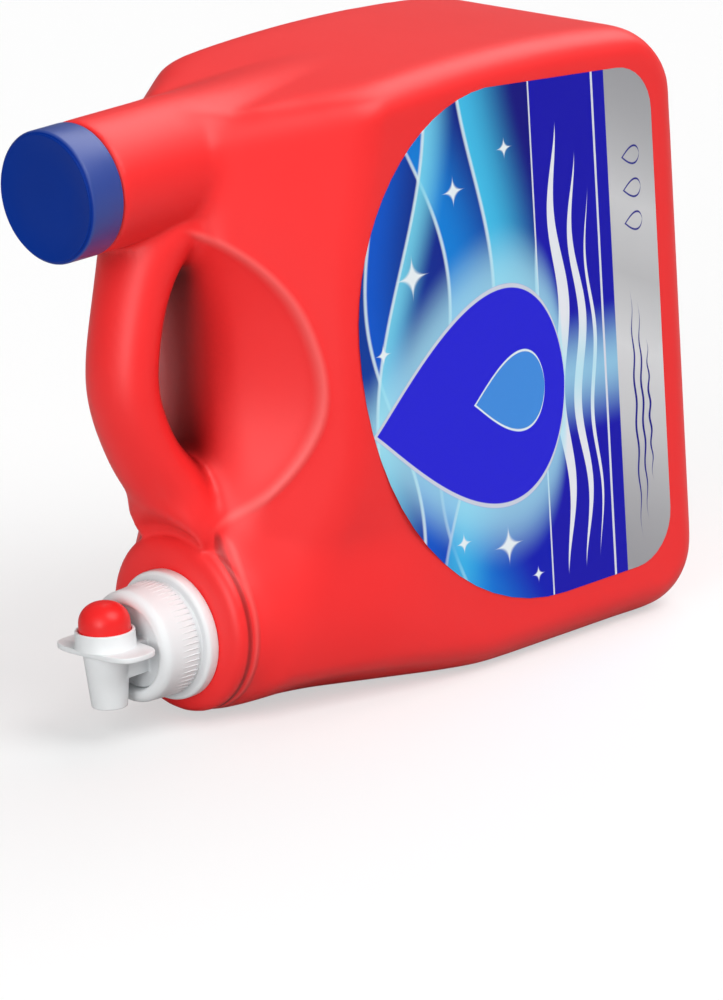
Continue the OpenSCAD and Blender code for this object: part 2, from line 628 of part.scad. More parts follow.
// Return spring: one helical tube from the roof of the chamber to the stem's head
coil_r = 5.4;
coil_steps = 16;
wire_sides = 6;
spring_low_z = roof_top_z + wire_r;
spring_high_z = head_z - wire_r;
spring_pitch = (spring_high_z - spring_low_z) / spring_turns;
echo(least_spring_gap = spring_pitch - 2 * wire_r);
module return_spring() {
    n = spring_turns * coil_steps;
    points = [for (i = [0:n], k = [0:wire_sides - 1])
        let(a = 360 * i / coil_steps, b = 360 * k / wire_sides, r = coil_r + wire_r * cos(b))
        [r * cos(a), r * sin(a), mix(spring_low_z, spring_high_z, i / n) + wire_r * sin(b)]];
    walls = [for (i = [0:n - 1], k = [0:wire_sides - 1])
        let(a = i * wire_sides + k, b = i * wire_sides + (k + 1) % wire_sides)
        each [[a, b, b + wire_sides], [a, b + wire_sides, a + wire_sides]]];
    ends = [[for (k = [wire_sides - 1:-1:0]) k], [for (k = [0:wire_sides - 1]) n * wire_sides + k]];
    color([0.7, 0.71, 0.73]) place() at_barrel(0) polyhedron(points, concat(walls, ends));
}

bottle_body();
front_label();
vent_cap();
cap_liner();
tap_collar();
neck_gasket();
tap_body();
button_retainer();
stem_seal();
push_button();
valve_stem();
valve_plug();
stem_clip();
return_spring();
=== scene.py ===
# %% [markdown]
# # A detergent bottle with a press tap
#
# The real bottle is blown from one tube of red plastic, lies on its long side and pours through a
# tap on its front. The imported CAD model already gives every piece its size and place. This lesson
# dresses it: soft moulded skins, a printed label, clean turned closures and a small valve.

# %% Load the frame
import bpy
import json
import math
from functools import partial
import numpy as np
from mathutils import Matrix, Vector

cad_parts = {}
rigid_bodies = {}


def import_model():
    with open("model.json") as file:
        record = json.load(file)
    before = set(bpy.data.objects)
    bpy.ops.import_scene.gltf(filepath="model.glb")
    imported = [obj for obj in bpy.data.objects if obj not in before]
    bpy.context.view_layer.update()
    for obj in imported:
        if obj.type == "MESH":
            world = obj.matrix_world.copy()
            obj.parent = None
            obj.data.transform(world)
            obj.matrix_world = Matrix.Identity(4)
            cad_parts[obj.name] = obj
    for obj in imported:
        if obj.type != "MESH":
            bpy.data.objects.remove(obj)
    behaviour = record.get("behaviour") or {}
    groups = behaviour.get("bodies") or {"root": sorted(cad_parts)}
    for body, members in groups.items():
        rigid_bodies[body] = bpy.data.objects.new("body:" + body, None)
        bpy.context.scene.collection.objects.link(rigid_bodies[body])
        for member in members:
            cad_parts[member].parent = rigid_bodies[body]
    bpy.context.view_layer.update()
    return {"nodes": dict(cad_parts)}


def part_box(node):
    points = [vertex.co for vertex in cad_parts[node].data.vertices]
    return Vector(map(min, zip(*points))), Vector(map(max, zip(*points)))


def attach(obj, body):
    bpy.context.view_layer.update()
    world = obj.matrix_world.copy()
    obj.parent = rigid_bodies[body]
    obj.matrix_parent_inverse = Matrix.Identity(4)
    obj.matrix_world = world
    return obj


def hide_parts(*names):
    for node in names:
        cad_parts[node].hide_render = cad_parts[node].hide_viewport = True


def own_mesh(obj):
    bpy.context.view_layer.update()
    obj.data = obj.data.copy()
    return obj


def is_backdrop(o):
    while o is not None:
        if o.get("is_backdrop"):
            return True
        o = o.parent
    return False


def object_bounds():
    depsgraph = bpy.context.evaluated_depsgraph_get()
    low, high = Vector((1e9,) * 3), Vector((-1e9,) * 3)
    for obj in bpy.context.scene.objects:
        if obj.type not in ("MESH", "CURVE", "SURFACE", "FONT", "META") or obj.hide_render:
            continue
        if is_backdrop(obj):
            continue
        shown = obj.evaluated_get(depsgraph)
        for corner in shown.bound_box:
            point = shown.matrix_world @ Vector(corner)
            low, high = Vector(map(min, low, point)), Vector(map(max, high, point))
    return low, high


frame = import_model()
nodes = frame["nodes"]
MM = 0.001
# the tap's axis meets the plane of the bottle's mouth here; all sizes below start from it
TAP = Vector((-83.85, 0.125, 31.1)) * MM
print("pieces in the frame:", sorted(nodes))

# %% [markdown]
# ## The camera
#
# The photograph was taken from the front left, a little above, with a long lens. The bottle is
# tipped slightly nose down there. Here the bottle stays level and the camera carries that tilt.

# %% Camera
right = Vector((0.70676732, -0.70517616, -0.05662632))
up = Vector((0.23318222, 0.1566408, 0.95973419))
back = Vector((-0.66791168, -0.69151301, 0.27514314))
PHOTO_UNIT = 0.9 * MM  # the photograph was measured in this unit
eye = TAP + PHOTO_UNIT * (73.556 * right + 51.426 * up + 3472.6 * back)
bpy.ops.object.camera_add(location=eye)
camera = bpy.context.object
camera.name = "camera"
camera.rotation_euler = Matrix((right, up, back)).transposed().to_euler()
camera.data.sensor_fit = "VERTICAL"
camera.data.sensor_height = 36
camera.data.lens = 324
camera.data.clip_end = 50
bpy.context.scene.camera = camera
print("camera is", round((eye - TAP).length, 2), "m from the tap")

# %% [markdown]
# ## Floor, backdrop and light
#
# A product photograph is lit by big soft lamps on a white sweep. The floor is near white and shows
# as plain white to the camera, except where the object shades it.

# %% Helpers for nodes
def feed(tree, socket, given):
    """Links a socket to another one, or sets it to a plain value."""
    if isinstance(given, bpy.types.NodeSocket):
        tree.links.new(given, socket)
    else:
        socket.default_value = given


def add_node(tree, kind, **values):
    """Adds a node. Plain names set its properties; in_Scale feeds the socket Scale, in_0 the first one."""
    node = tree.nodes.new(kind)
    for name, value in values.items():
        key = name[3:]
        if not name.startswith("in_"):
            setattr(node, name, value)
        elif key.isdigit():
            feed(tree, node.inputs[int(key)], value)
        else:
            feed(tree, node.inputs[key.replace("_", " ")], value)
    return node


def math_node(tree, operation, *values, clamp=False):
    node = add_node(tree, "ShaderNodeMath", operation=operation, use_clamp=clamp)
    for socket, value in zip(node.inputs, values):
        feed(tree, socket, value)
    return node.outputs[0]


def smooth_step(tree, value, low, high):
    """Rises from 0 to 1 as the value goes from low to high."""
    return add_node(tree, "ShaderNodeMapRange", interpolation_type="SMOOTHSTEP", in_Value=value,
                    in_From_Min=low, in_From_Max=high).outputs[0]


def fade_out(tree, value, low, high):
    """Falls from 1 to 0 as the value goes from low to high."""
    return math_node(tree, "SUBTRACT", 1.0, smooth_step(tree, value, low, high))


def mix_colour(tree, share, first, second):
    """Goes from the first colour to the second. In this node sockets 6 and 7 and output 2 are the colours."""
    return add_node(tree, "ShaderNodeMix", data_type="RGBA", in_0=share, in_6=first, in_7=second).outputs[2]


def own_place(tree):
    """The X, Y and Z of the point that is being coloured, in its object's axes."""
    where = add_node(tree, "ShaderNodeTexCoord").outputs["Object"]
    return add_node(tree, "ShaderNodeSeparateXYZ", in_Vector=where).outputs


def off_axis(tree, place, height):
    """Distance of a place from the line along X at a height."""
    rise = math_node(tree, "SUBTRACT", place["Z"], height)
    return math_node(tree, "SQRT", math_node(tree, "ADD", math_node(tree, "MULTIPLY", rise, rise),
                                             math_node(tree, "MULTIPLY", place["Y"], place["Y"])))


def new_material(name):
    """A new material, its tree and the sockets of its shader."""
    material = bpy.data.materials.new(name)
    material.use_nodes = True
    return material, material.node_tree, material.node_tree.nodes["Principled BSDF"].inputs


def linear(r, g, b):
    """A colour as a paint program gives it, 0 to 255, as Blender's linear colour."""
    shares = (v / 255 for v in (r, g, b))
    return tuple(s / 12.92 if s <= 0.04045 else ((s + 0.055) / 1.055) ** 2.4 for s in shares) + (1.0,)


# %% Floor and world
FLOOR_SIZE, FLOOR_DROP = 40, 0.0004  # metres; the drop keeps the floor clear of the underside
PAPER_GREY, PAPER_GLOW = 0.42, 0.54  # lit paper and its glow add up to white for the camera
ROOM_LIGHT = 0.12
bpy.ops.mesh.primitive_plane_add(size=FLOOR_SIZE, location=(0.0, 0.0, -FLOOR_DROP))
floor = bpy.context.object
floor.name = "floor"
paper, tree, shader = new_material("white paper")
seen_directly = add_node(tree, "ShaderNodeLightPath").outputs["Is Camera Ray"]
feed(tree, shader["Base Color"], (PAPER_GREY, PAPER_GREY, PAPER_GREY, 1))
feed(tree, shader["Emission Color"], (1, 1, 1, 1))
feed(tree, shader["Emission Strength"], math_node(tree, "MULTIPLY", seen_directly, PAPER_GLOW))
feed(tree, shader["Roughness"], 0.9)
feed(tree, shader["Specular IOR Level"], 0.1)
floor.data.materials.append(paper)
floor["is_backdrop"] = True

world = bpy.data.worlds.new("white room")
bpy.context.scene.world = world
world.use_nodes = True
tree = world.node_tree
tree.nodes.clear()
rays = add_node(tree, "ShaderNodeLightPath")
lit = add_node(tree, "ShaderNodeBackground", in_Color=(1, 1, 1, 1), in_Strength=ROOM_LIGHT)
seen = add_node(tree, "ShaderNodeBackground", in_Color=(1, 1, 1, 1), in_Strength=1.0)
chosen = add_node(tree, "ShaderNodeMixShader", in_0=rays.outputs["Is Camera Ray"],
                  in_1=lit.outputs[0], in_2=seen.outputs[0])
add_node(tree, "ShaderNodeOutputWorld", in_Surface=chosen.outputs[0])
bpy.context.scene.view_settings.view_transform = "Standard"
print("floor is", FLOOR_SIZE, "m wide, room light", ROOM_LIGHT)


# %% Lamps
def soft_sun(name, towards, share, angle):
    """A broad far lamp. A share of 1 shows a colour just as it is written on a face turned to the lamp."""
    bpy.ops.object.light_add(type="SUN", location=Vector(towards) * 2)
    lamp = bpy.context.object
    lamp.name = name
    lamp.data.energy = math.pi * share
    lamp.data.angle = math.radians(angle)
    lamp.rotation_euler = Vector(towards).to_track_quat("Z", "Y").to_euler()


soft_sun("key lamp", (0.15, -0.62, 0.77), 0.6, 40)
soft_sun("front lamp", (-0.86, -0.36, 0.36), 0.33, 50)
soft_sun("rim lamp", (0.67, 0.1, 0.74), 0.46, 48)
STRIP_PLACE, STRIP_AIM = Vector((-1.42, -0.62, 0.34)), Vector((-0.06, 0.0, 0.1))
bpy.ops.object.light_add(type="AREA", location=STRIP_PLACE)
strip = bpy.context.object
strip.name = "strip lamp"
strip.data.shape = "RECTANGLE"
strip.data.size, strip.data.size_y = 0.3, 0.64
strip.data.energy = 5
strip.rotation_euler = (STRIP_PLACE - STRIP_AIM).to_track_quat("Z", "Y").to_euler()


# %% [markdown]
# ## Copying a solid and softening it
#
# A blown bottle has no sharp edge anywhere. The frame gives its solid in flat facets. A copy of it
# is plugged at both mouths, so that the hollow comes loose and can be thrown away. The handle's foot
# is turned clear of the boss's round front. The skin is then rebuilt as an even grid of small faces
# that smoothing can round.

# %% Helpers for objects
MERGE = 0.000002  # vertices closer than this are one


def at(x, z=0.0):
    """A place on the middle plane: millimetres from the tap's axis, x towards the base and z up."""
    return TAP + Vector((x, 0, z)) * MM


def pick(obj):
    bpy.ops.object.select_all(action="DESELECT")
    obj.select_set(True)
    bpy.context.view_layer.objects.active = obj


def edit_all():
    """Opens the active mesh for editing, all of it selected."""
    bpy.ops.object.mode_set(mode="EDIT")
    bpy.ops.mesh.select_all(action="SELECT")


def copy_of(node, name):
    """A merged copy of a frame node, free of the frame."""
    pick(nodes[node])
    bpy.ops.object.duplicate()
    piece = bpy.context.object
    bpy.ops.object.parent_clear(type="CLEAR_KEEP_TRANSFORM")
    bpy.ops.object.transform_apply()
    piece.name = piece.data.name = name
    piece.data.materials.clear()
    edit_all()
    bpy.ops.mesh.remove_doubles(threshold=MERGE)
    bpy.ops.object.mode_set(mode="OBJECT")
    return piece


def rod(name, radius, start, end):
    """A plain round rod along X between two places, to close a mouth with."""
    bpy.ops.mesh.primitive_cylinder_add(vertices=64, radius=radius, depth=(end - start).length,
                                        location=(start + end) / 2, rotation=(0, math.pi / 2, 0))
    piece = bpy.context.object
    piece.name = name
    bpy.ops.object.transform_apply()
    return piece


def combine(piece, tool, operation):
    pick(piece)
    change = piece.modifiers.new("combine", "BOOLEAN")
    change.operation = operation
    change.object = tool
    change.solver = "EXACT"
    bpy.ops.object.modifier_apply(modifier=change.name)
    bpy.data.objects.remove(tool)


def keep_largest(piece):
    """Splits a mesh into its loose parts and keeps the one with the longest box."""
    pick(piece)
    bpy.ops.mesh.separate(type="LOOSE")
    parts = list(bpy.context.selected_objects)
    parts.sort(key=lambda part: part.dimensions.length)
    largest = parts.pop()
    for part in parts:
        bpy.data.objects.remove(part)
    print(largest.name, "kept one part,", len(parts), "thrown away")
    return largest


def voxel_skin(piece, size):
    """Rebuilds the skin as an even grid, without the solid's own normals, which would show as specks."""
    pick(piece)
    piece.data.remesh_voxel_size = size
    piece.data.remesh_voxel_adaptivity = 0
    bpy.ops.object.voxel_remesh()
    bpy.ops.mesh.customdata_custom_splitnormals_clear()
    print(piece.name, "has", len(piece.data.polygons), "even faces")


def soften(piece, rounds, group=""):
    pick(piece)
    change = piece.modifiers.new("soften", "SMOOTH")
    change.factor = 0.5
    change.iterations = rounds
    change.vertex_group = group
    bpy.ops.object.modifier_apply(modifier=change.name)


def shade_round(piece, degrees):
    pick(piece)
    bpy.ops.object.shade_smooth_by_angle(angle=math.radians(degrees), keep_sharp_edges=False)


# %% [markdown]
# ## Turned pieces
#
# The cap, the collar, the ring and the button are all turned shapes, and so is the front of the tap
# boss. A turner's way works well: a single point is extruded into half the outline, and the spin
# operator carries it once round.

# %% Turning
def turned(name, outline, middle, axis, steps=128):
    """Spins an outline of (radius, height) steps, in millimetres, round an axis through middle."""
    side = Vector((0, 0, 1)) if axis.x else Vector((1, 0, 0))
    bpy.ops.mesh.primitive_plane_add(size=MM)
    piece = bpy.context.object
    piece.name = piece.data.name = name
    edit_all()
    bpy.ops.mesh.merge(type="CENTER")
    places = [middle + MM * (r * side + h * axis) for r, h in outline]
    bpy.ops.transform.translate(value=places[0])
    for before, after in zip(places, places[1:]):
        bpy.ops.mesh.extrude_region_move(TRANSFORM_OT_translate={"value": after - before})
    bpy.ops.mesh.select_all(action="SELECT")
    bpy.ops.mesh.spin(steps=steps, angle=2 * math.pi, center=middle, axis=axis)
    bpy.ops.mesh.select_all(action="SELECT")
    bpy.ops.mesh.remove_doubles(threshold=2 * MERGE)
    bpy.ops.mesh.normals_make_consistent(inside=False)
    bpy.ops.object.mode_set(mode="OBJECT")
    shade_round(piece, 35)
    return piece


def round_corner(centre, radius, start, end, steps=6):
    """Points of an arc for an outline, angles in degrees from the radius direction."""
    angles = [math.radians(start + (end - start) * i / steps) for i in range(steps + 1)]
    return [(centre[0] + radius * math.cos(a), centre[1] + radius * math.sin(a)) for a in angles]


# %% The mould's measures
# millimetres from the tap's axis, x towards the base and z up
HALF, LENGTH, FLOOR, TOP = 54.0, 212.5, -31.1, 180.3
BOW_X, BOW = 109.85, 8.6  # the top bows up by this much, most at BOW_X
ARC_X, ARC_R, GAP_Z = -98.6, 117.0, 90.9  # the hollow arc at the front of the panel, round the finger hole
FOOT_X, FOOT_TOP = 7.2, 38  # under this height the front is upright
BASE_ROUND, OLD_ROUND = 24.0, 32.4  # the real and the solid's round of the upper corner at the base
UNDER_ROUND, FRONT_ROUND = 23.4, 27.0  # the lower corner at the base and the upper one at the front
EDGE_ROUND = 11.0  # of the upper long edges
PANEL_X, SCOOP, SCOOP_R, SCOOP_GROW = 44.6, (-26.6, 93.0), 61.9, 2.6
NECK_Z, NECK_R = 165.6, 23.4
# the round boss of the tap: its turned front starts at the mouth, and its cone swells towards the bottle
BOSS_Z, BOSS_R, LOBE_R, MOUTH_X = 3.1, 34.2, 32.4, 1.1
LOBE_DROP, LOBE_DEPTH = 7.2, 4.5
CONE_X, CONE_SLOPE = 7.6, 0.29
# the cheeks' planes: slope, lean, and where each meets the flat panel, how far past PANEL_X and how high
FRONT = (0.93, 0.0, 0.0, 0.0)
UPPER = (0.72, -math.radians(15.5), 3.6, 134.1)
LOWER = (0.37, math.radians(41), 1.8, 54.9)
CHEEK_BLEND, BOSS_BLEND, SCOOP_BLEND = 4.5, 12.6, 2.2
FULL_Z, SLIM_Z = 72.0, 108.0  # the scoop grows by SCOOP_GROW on its way down between these
print("the mould is", 2 * HALF, "mm thick and", TOP + BOW - FLOOR, "mm high")

# %% Bottle shell: one skin without its hollow
FIRST_GRID, LAST_GRID = 1.2 * MM, 1.46 * MM
bottle = copy_of("bottle_body", "bottle_shell")
plugs = (("tap plug", 15.6, -11.8, -6, 0), ("neck plug", 17.9, -41.4, -34, NECK_Z))  # in millimetres
for name, radius, start, end, z in plugs:
    combine(bottle, rod(name, radius * MM, at(start, z), at(end, z)), "UNION")
bottle = keep_largest(bottle)
bottle.name = bottle.data.name = "bottle_shell"
# a hollow cutter turns the handle's foot clear of the boss's round front
lobe_side = [(LOBE_R - LOBE_DROP * (1 - math.sin(a)), MOUTH_X + LOBE_DEPTH * (1 - math.cos(a)))
             for a in (math.radians(15 * i) for i in range(7))]
lobe_outline = [(19, -30), (19, MOUTH_X)] + lobe_side + [(44, -8), (50, -20), (50, -30), (19, -30)]
combine(bottle, turned("lobe cutter", lobe_outline, at(0, BOSS_Z), Vector((1, 0, 0)), 96), "DIFFERENCE")
voxel_skin(bottle, FIRST_GRID)

# %% [markdown]
# ## Shaping the cheeks, the scoop and the panel
#
# The side of the bottle is a flat panel that folds into leaning cheeks. A ridge rings the hollow
# for the fingers. Each of these is a plane or a cone, and a real mould blends them with soft
# fillets. The same planes are set here on the fine grid, so the ridge comes out as one clean line.

# %% The mould's planes
def soft_min(a, b, width):
    """The lower of two values, blended where they are closer than width."""
    return np.minimum(a, b) - np.maximum(width - np.abs(a - b), 0) ** 2 / (4 * width)


def soft_max(a, b, width):
    return -soft_min(-a, -b, width)


def within(values):
    return np.clip(values, 0, 1)


def plane(x, z, slope, lean, past, level):
    """Half thickness over a point by one of the cheeks' planes."""
    return HALF + slope * ((x - PANEL_X - past) * math.cos(lean) + (z - level) * math.sin(lean))


def half_thickness(x, z):
    """Half thickness of the bottle over a point of its side view, in millimetres from the tap's axis."""
    front = plane(x, z, *FRONT)
    cheeks = soft_min(soft_min(front, plane(x, z, *UPPER), CHEEK_BLEND), plane(x, z, *LOWER), CHEEK_BLEND)
    cone = BOSS_R + CONE_SLOPE * np.maximum(0, x - CONE_X)
    boss = np.sqrt(np.maximum(0, cone ** 2 - (z - BOSS_Z) ** 2))
    swollen = soft_max(cheeks, boss, BOSS_BLEND)
    fuller = within((SLIM_Z - z) / (SLIM_Z - FULL_Z))
    scoop_r = SCOOP_R + SCOOP_GROW * fuller ** 2 * (3 - 2 * fuller)
    scoop = front + (np.hypot(x - SCOOP[0], z - SCOOP[1]) - scoop_r)
    # a fine pinched ridge stands up where the scoop meets the cheeks
    ridge = 1.2 * np.exp(-((swollen - scoop - 0.6) / 1.6) ** 2) * within((HALF - 1.5 - scoop) / 4)
    return soft_min(soft_min(swollen, scoop, SCOOP_BLEND), HALF, CHEEK_BLEND) + ridge


def lobe_radius(x):
    """Radius of the boss's turned front, which rounds over at the mouth and swells towards the bottle."""
    front = LOBE_DROP * (1 - np.sqrt(np.maximum(0, 1 - within(1 - (x - MOUTH_X) / LOBE_DEPTH) ** 2)))
    return LOBE_R - front + (BOSS_R - LOBE_R) * within((x - 8.5) / 7)


def top_at(x):
    """Height of the bottle's top, which bows up slightly along its length."""
    along = (x - BOW_X) / (LENGTH - BOW_X)
    return TOP + BOW * np.maximum(0, 1 - along ** 2)


def border_distance(x, z):
    """Distance inwards from the outline of the side view, with its three round corners."""
    front = ARC_X + np.sqrt(np.maximum(0, ARC_R ** 2 - (z - GAP_Z) ** 2))
    front = np.where(z < FOOT_TOP, FOOT_X, front)
    over, under, ahead, behind = top_at(x) - z, z - FLOOR, x - front, LENGTH - x
    distance = np.minimum(np.minimum(over, under), np.minimum(ahead, behind))
    for a, b, r in ((over, behind, BASE_ROUND), (under, behind, UNDER_ROUND), (over, ahead, FRONT_ROUND)):
        inside = (a < r) & (b < r)
        distance = np.where(inside, r - np.hypot(r - a, r - b), distance)
    return distance


def square_up(x, z):
    """Draws the upper corner at the base out from OLD_ROUND to BASE_ROUND."""
    a, b = x - LENGTH + OLD_ROUND, z - top_at(x) + OLD_ROUND
    reach = np.maximum(np.hypot(a, b), 1e-6)
    u, v, shift = a / reach, b / reach, OLD_ROUND - BASE_ROUND
    straight = OLD_ROUND / np.maximum(np.maximum(u, v), 1e-6)
    along = shift * (u + v)
    arc = along + np.sqrt(np.maximum(0, along ** 2 - 2 * shift ** 2 + BASE_ROUND ** 2))
    bound = np.where(straight * np.minimum(u, v) < shift, straight, arc)
    grow = (bound / OLD_ROUND - 1) * within(reach / OLD_ROUND) ** 4 * ((a > 0) & (b > 0))
    return x + a * grow, z + b * grow


def edge_radius(x, z):
    """The edge round of the solid: wide at the underside and at the top of the front, close elsewhere."""
    low = 31.1 + (5.4 - 31.1) * within((z - FLOOR) / 31.1)
    front = low + (21.6 - low) * within((z - 136.8) / 27)
    side = front + (13.1 - front) * within((x - 41.4) / (100.8 - 41.4))
    return side + (10.3 - side) * within((x - LENGTH + OLD_ROUND) / OLD_ROUND)


def crisp_radius(x, z):
    """The edge round of the real bottle, which is tighter along the top than the solid's."""
    wide = edge_radius(x, z)
    return wide + (np.minimum(wide, EDGE_ROUND) - wide) * within((z - 150) / 12)


# %% Set the planes on the grid
def spread(values, mesh, rounds):
    """Averages a value with those of the neighbour vertices, so that it fades out without a step."""
    ends = np.empty(len(mesh.edges) * 2, dtype=np.int32)
    mesh.edges.foreach_get("vertices", ends)
    first, second = ends.reshape(-1, 2).T
    count = 1 + np.bincount(ends, minlength=len(values))
    for _ in range(rounds):
        values = (values + np.bincount(first, values[second], len(values))
                  + np.bincount(second, values[first], len(values))) / count
    return values


def tighten_top(x, y, z, mesh):
    """Moves the skin of the upper long edges from the solid's round to the tighter one."""
    r0, r1 = edge_radius(x, z), crisp_radius(x, z)
    half, below = half_thickness(x, z), 40.0
    d, t = top_at(x) - z, half - np.abs(y)
    u, v, scale = r0 - d, r0 - t, r1 / r0
    new_d = np.where(u > 0, np.where(v > 0, r1 - scale * u, d), r1 + (d - r0) * (below - r1) / (below - r0))
    new_t = np.where(v > 0, np.where(u > 0, r1 - scale * v, t), r1 + (t - r0) * (half - r1) / (half - r0))
    share = ((z > 120) & (d < below)) * within((x + 6) / 6)
    share = share * within((np.abs(np.hypot(y, z - NECK_Z) - NECK_R) - 0.8) / 1.5)
    share = spread(share, mesh, 14)
    new_y = np.sign(y) * np.maximum(half - new_t, 0)
    return y + share * (new_y - y), z + share * (d - new_d)


def places_of(piece):
    """The x, y and z of all vertices, in millimetres from the tap's axis."""
    places = np.empty(len(piece.data.vertices) * 3)
    piece.data.vertices.foreach_get("co", places)
    return [(places[i::3] - TAP[i]) / MM for i in range(3)]


def shape_sides(piece, reshape):
    """Sets the skin on the mould's planes and turned forms; reshape first moves it to the tighter edges."""
    mesh = piece.data
    x, y, z = places_of(piece)
    if reshape:
        x, z = square_up(x, z)
        y, z = tighten_top(x, y, z, mesh)

    # the flat sides, with the round of their edges and the neck's side rising out of them
    distance, radius = border_distance(x, z), crisp_radius(x, z)
    flat = half_thickness(x, z) - radius * (1 - np.sqrt(1 - within(1 - distance / radius) ** 2))
    neck = np.sqrt(np.maximum(0, NECK_R ** 2 - (z - NECK_Z) ** 2))
    target = soft_max(flat, neck, 3.0)
    skip = 0.3 - 0.22 * within((z - 150) / 12)
    behind = np.where(z > 132, within((x + 4) / 7), within((x - 15) / 7))
    trust = within((distance / radius - skip) / 0.3) * behind
    limit = 8 + 7 * within((z - 150) / 8) * within((45 - x) / 8)
    trust = trust * within((limit - np.abs(np.abs(y) - target)) / 3) * within((flat - neck + 2.5) / 2)
    trust = spread(trust, mesh, 6)
    y = y + trust * (np.sign(y) * target - y)

    # the neck is turned
    from_neck = np.hypot(y, z - NECK_Z)
    miss = NECK_R - from_neck
    reach = 1.8 + 3 * within((z - 155) / 8)
    on_neck = within((reach - np.abs(miss)) / 0.8) * within((x + 26) / 3) * within((55 - x) / 10)
    on_neck = spread(on_neck * within((neck - flat) / 1.5), mesh, 3)
    y = y * (1 + on_neck * miss / from_neck)
    z = NECK_Z + (z - NECK_Z) * (1 + on_neck * miss / from_neck)

    # the neck's top sinks into the bottle's top in a broad hollow, never higher than the solid
    half = half_thickness(x, top_at(x) - 6)
    over_edge = within((np.abs(y) - half + EDGE_ROUND) / EDGE_ROUND)
    face = top_at(x) - EDGE_ROUND * (1 - np.sqrt(1 - over_edge ** 2))
    ridge = NECK_Z + np.sqrt(np.maximum(0, NECK_R ** 2 - y ** 2)) - 0.09 * np.maximum(0, x - 15)
    on_top = within((x - 2) / 8) * within((90 - x) / 20) * within((0.7 - over_edge) / 0.3)
    on_top = on_top * within((z - face + 2.5) / 1.5)
    on_top = spread(on_top * within((NECK_R + 10 - np.abs(y)) / 8), mesh, 5)
    crown = NECK_Z + NECK_R - 0.05
    z = np.minimum(z + on_top * (soft_max(face, ridge, 9) - z), crown)

    # the boss's front is turned too
    from_axis = np.hypot(y, z - BOSS_Z)
    miss = lobe_radius(x) - from_axis
    on_lobe = within((2.6 - np.abs(miss)) / 1.2) * within((x - 1.8) / 1.2) * within((15 - x) / 4)
    on_lobe = spread(on_lobe, mesh, 3)
    y = y * (1 + on_lobe * miss / from_axis)
    z = BOSS_Z + (z - BOSS_Z) * (1 + on_lobe * miss / from_axis)
    moved = np.column_stack([values * MM + TAP[i] for i, values in enumerate((x, y, z))])
    mesh.vertices.foreach_set("co", moved.ravel())

    # what is set stays; the rest is loose, less so near the neck, and the next smoothing blends it in
    crisp = (x < 5) & (np.hypot(y, z) < 40) | (x < -20) & (z > 130)
    kept = np.maximum.reduce([trust, on_lobe, on_neck, on_top, spread(crisp.astype(float), mesh, 3)])
    by_neck = within((36 - np.hypot(y, z - NECK_Z)) / 8) * within((66 - x) / 10)
    weights = np.maximum((1 - kept) * (1 - 0.8 * spread(by_neck, mesh, 6)), 0.06)
    steps = np.round(weights * 16) / 16
    piece.vertex_groups.clear()
    loose = piece.vertex_groups.new(name="loose")
    for share in np.unique(steps):
        chosen = np.nonzero(steps == share)[0]
        loose.add([int(i) for i in chosen], float(max(share, 0.04)), "REPLACE")
    print("vertices set on the mould's planes:", int((trust > 0.5).sum()), "of", len(x))


def group_by_neck(piece):
    """A vertex group of the skin round the neck's root, where facets of several forms meet."""
    x, y, z = places_of(piece)
    inside = (x > -8) & (x < 48) & (z > 150) & (z < 187) & (np.abs(y) > 8)
    root = piece.vertex_groups.new(name="root")
    root.add([int(i) for i in np.nonzero(inside)[0]], 1.0, "REPLACE")


# the planes are set twice: first on the fine grid, then on the coarser one that is kept
soften(bottle, 4)
shape_sides(bottle, reshape=True)
voxel_skin(bottle, LAST_GRID)
soften(bottle, 3)
group_by_neck(bottle)
soften(bottle, 30, group="root")
shape_sides(bottle, reshape=False)
soften(bottle, 50, group="loose")
group_by_neck(bottle)
soften(bottle, 8, group="root")
soften(bottle, 1)
shade_round(bottle, 180)
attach(bottle, "bottle")
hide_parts("bottle_body")

# %% [markdown]
# ## The vent cap
#
# The cap is a plain cup with a bead round its face. It screws on the neck and is opened for air and
# for filling. Its outline is turned here as the mould's core and cavity were.

# %% Vent cap
FORWARD = Vector((-1, 0, 0))
cap_foot = at(-29.5, NECK_Z)
cap_outline = (
    [(21.8, 0.5), (22.9, 0.5)] + round_corner((22.9, 1.0), 0.5, -90, 0, 3)
    + [(23.4, 12.6)] + round_corner((22.3, 13.5), 1.1, 0, 60, 5)
    + [(22.25, 14.75)] + round_corner((22.0, 14.95), 0.32, 0, 90, 4)
    + [(21.5, 15.25), (20.9, 15.0), (12.0, 14.95), (0, 14.95), (0, 13.7), (21.4, 13.7), (21.8, 13.3)])
cap = turned("cap_shell", cap_outline + [cap_outline[0]], cap_foot, FORWARD, 160)
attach(cap, "cap")
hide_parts("vent_cap")
print("cap measures", tuple(round(v / MM, 1) for v in cap.dimensions), "mm")

# %% [markdown]
# ## The ribbed collar
#
# A screw collar holds the tap on the bottle. It has a smooth band at the back, a fine groove and a
# skirt with shallow ribs for the fingers, which fade out before the rounded front rim.

# %% Collar body
collar_outline = (
    [(17.35, 0), (22.6, 0)] + round_corner((22.6, 0.6), 0.5, -90, 0, 4)
    + round_corner((21.7, 3.5), 1.4, 0, 90, 7) + [(20.9, 4.9)] + round_corner((20.3, 5.5), 0.55, 270, 180, 4)
    + [(19.75, 6.1)] + round_corner((20.05, 6.4), 0.3, 180, 90, 3)
    + [(20.2, 8.0), (20.15, 14.0), (20.0, 18.0)] + round_corner((16.8, 18.9), 3.2, 8, 90, 9)
    + [(16.2, 22.05), (15.6, 21.7), (15.25, 21.0), (15.1, 19.5), (15.1, 15.2), (17.35, 15.2)])
collar = turned("collar_body", collar_outline + [collar_outline[0]], at(MOUTH_X), FORWARD, 144)

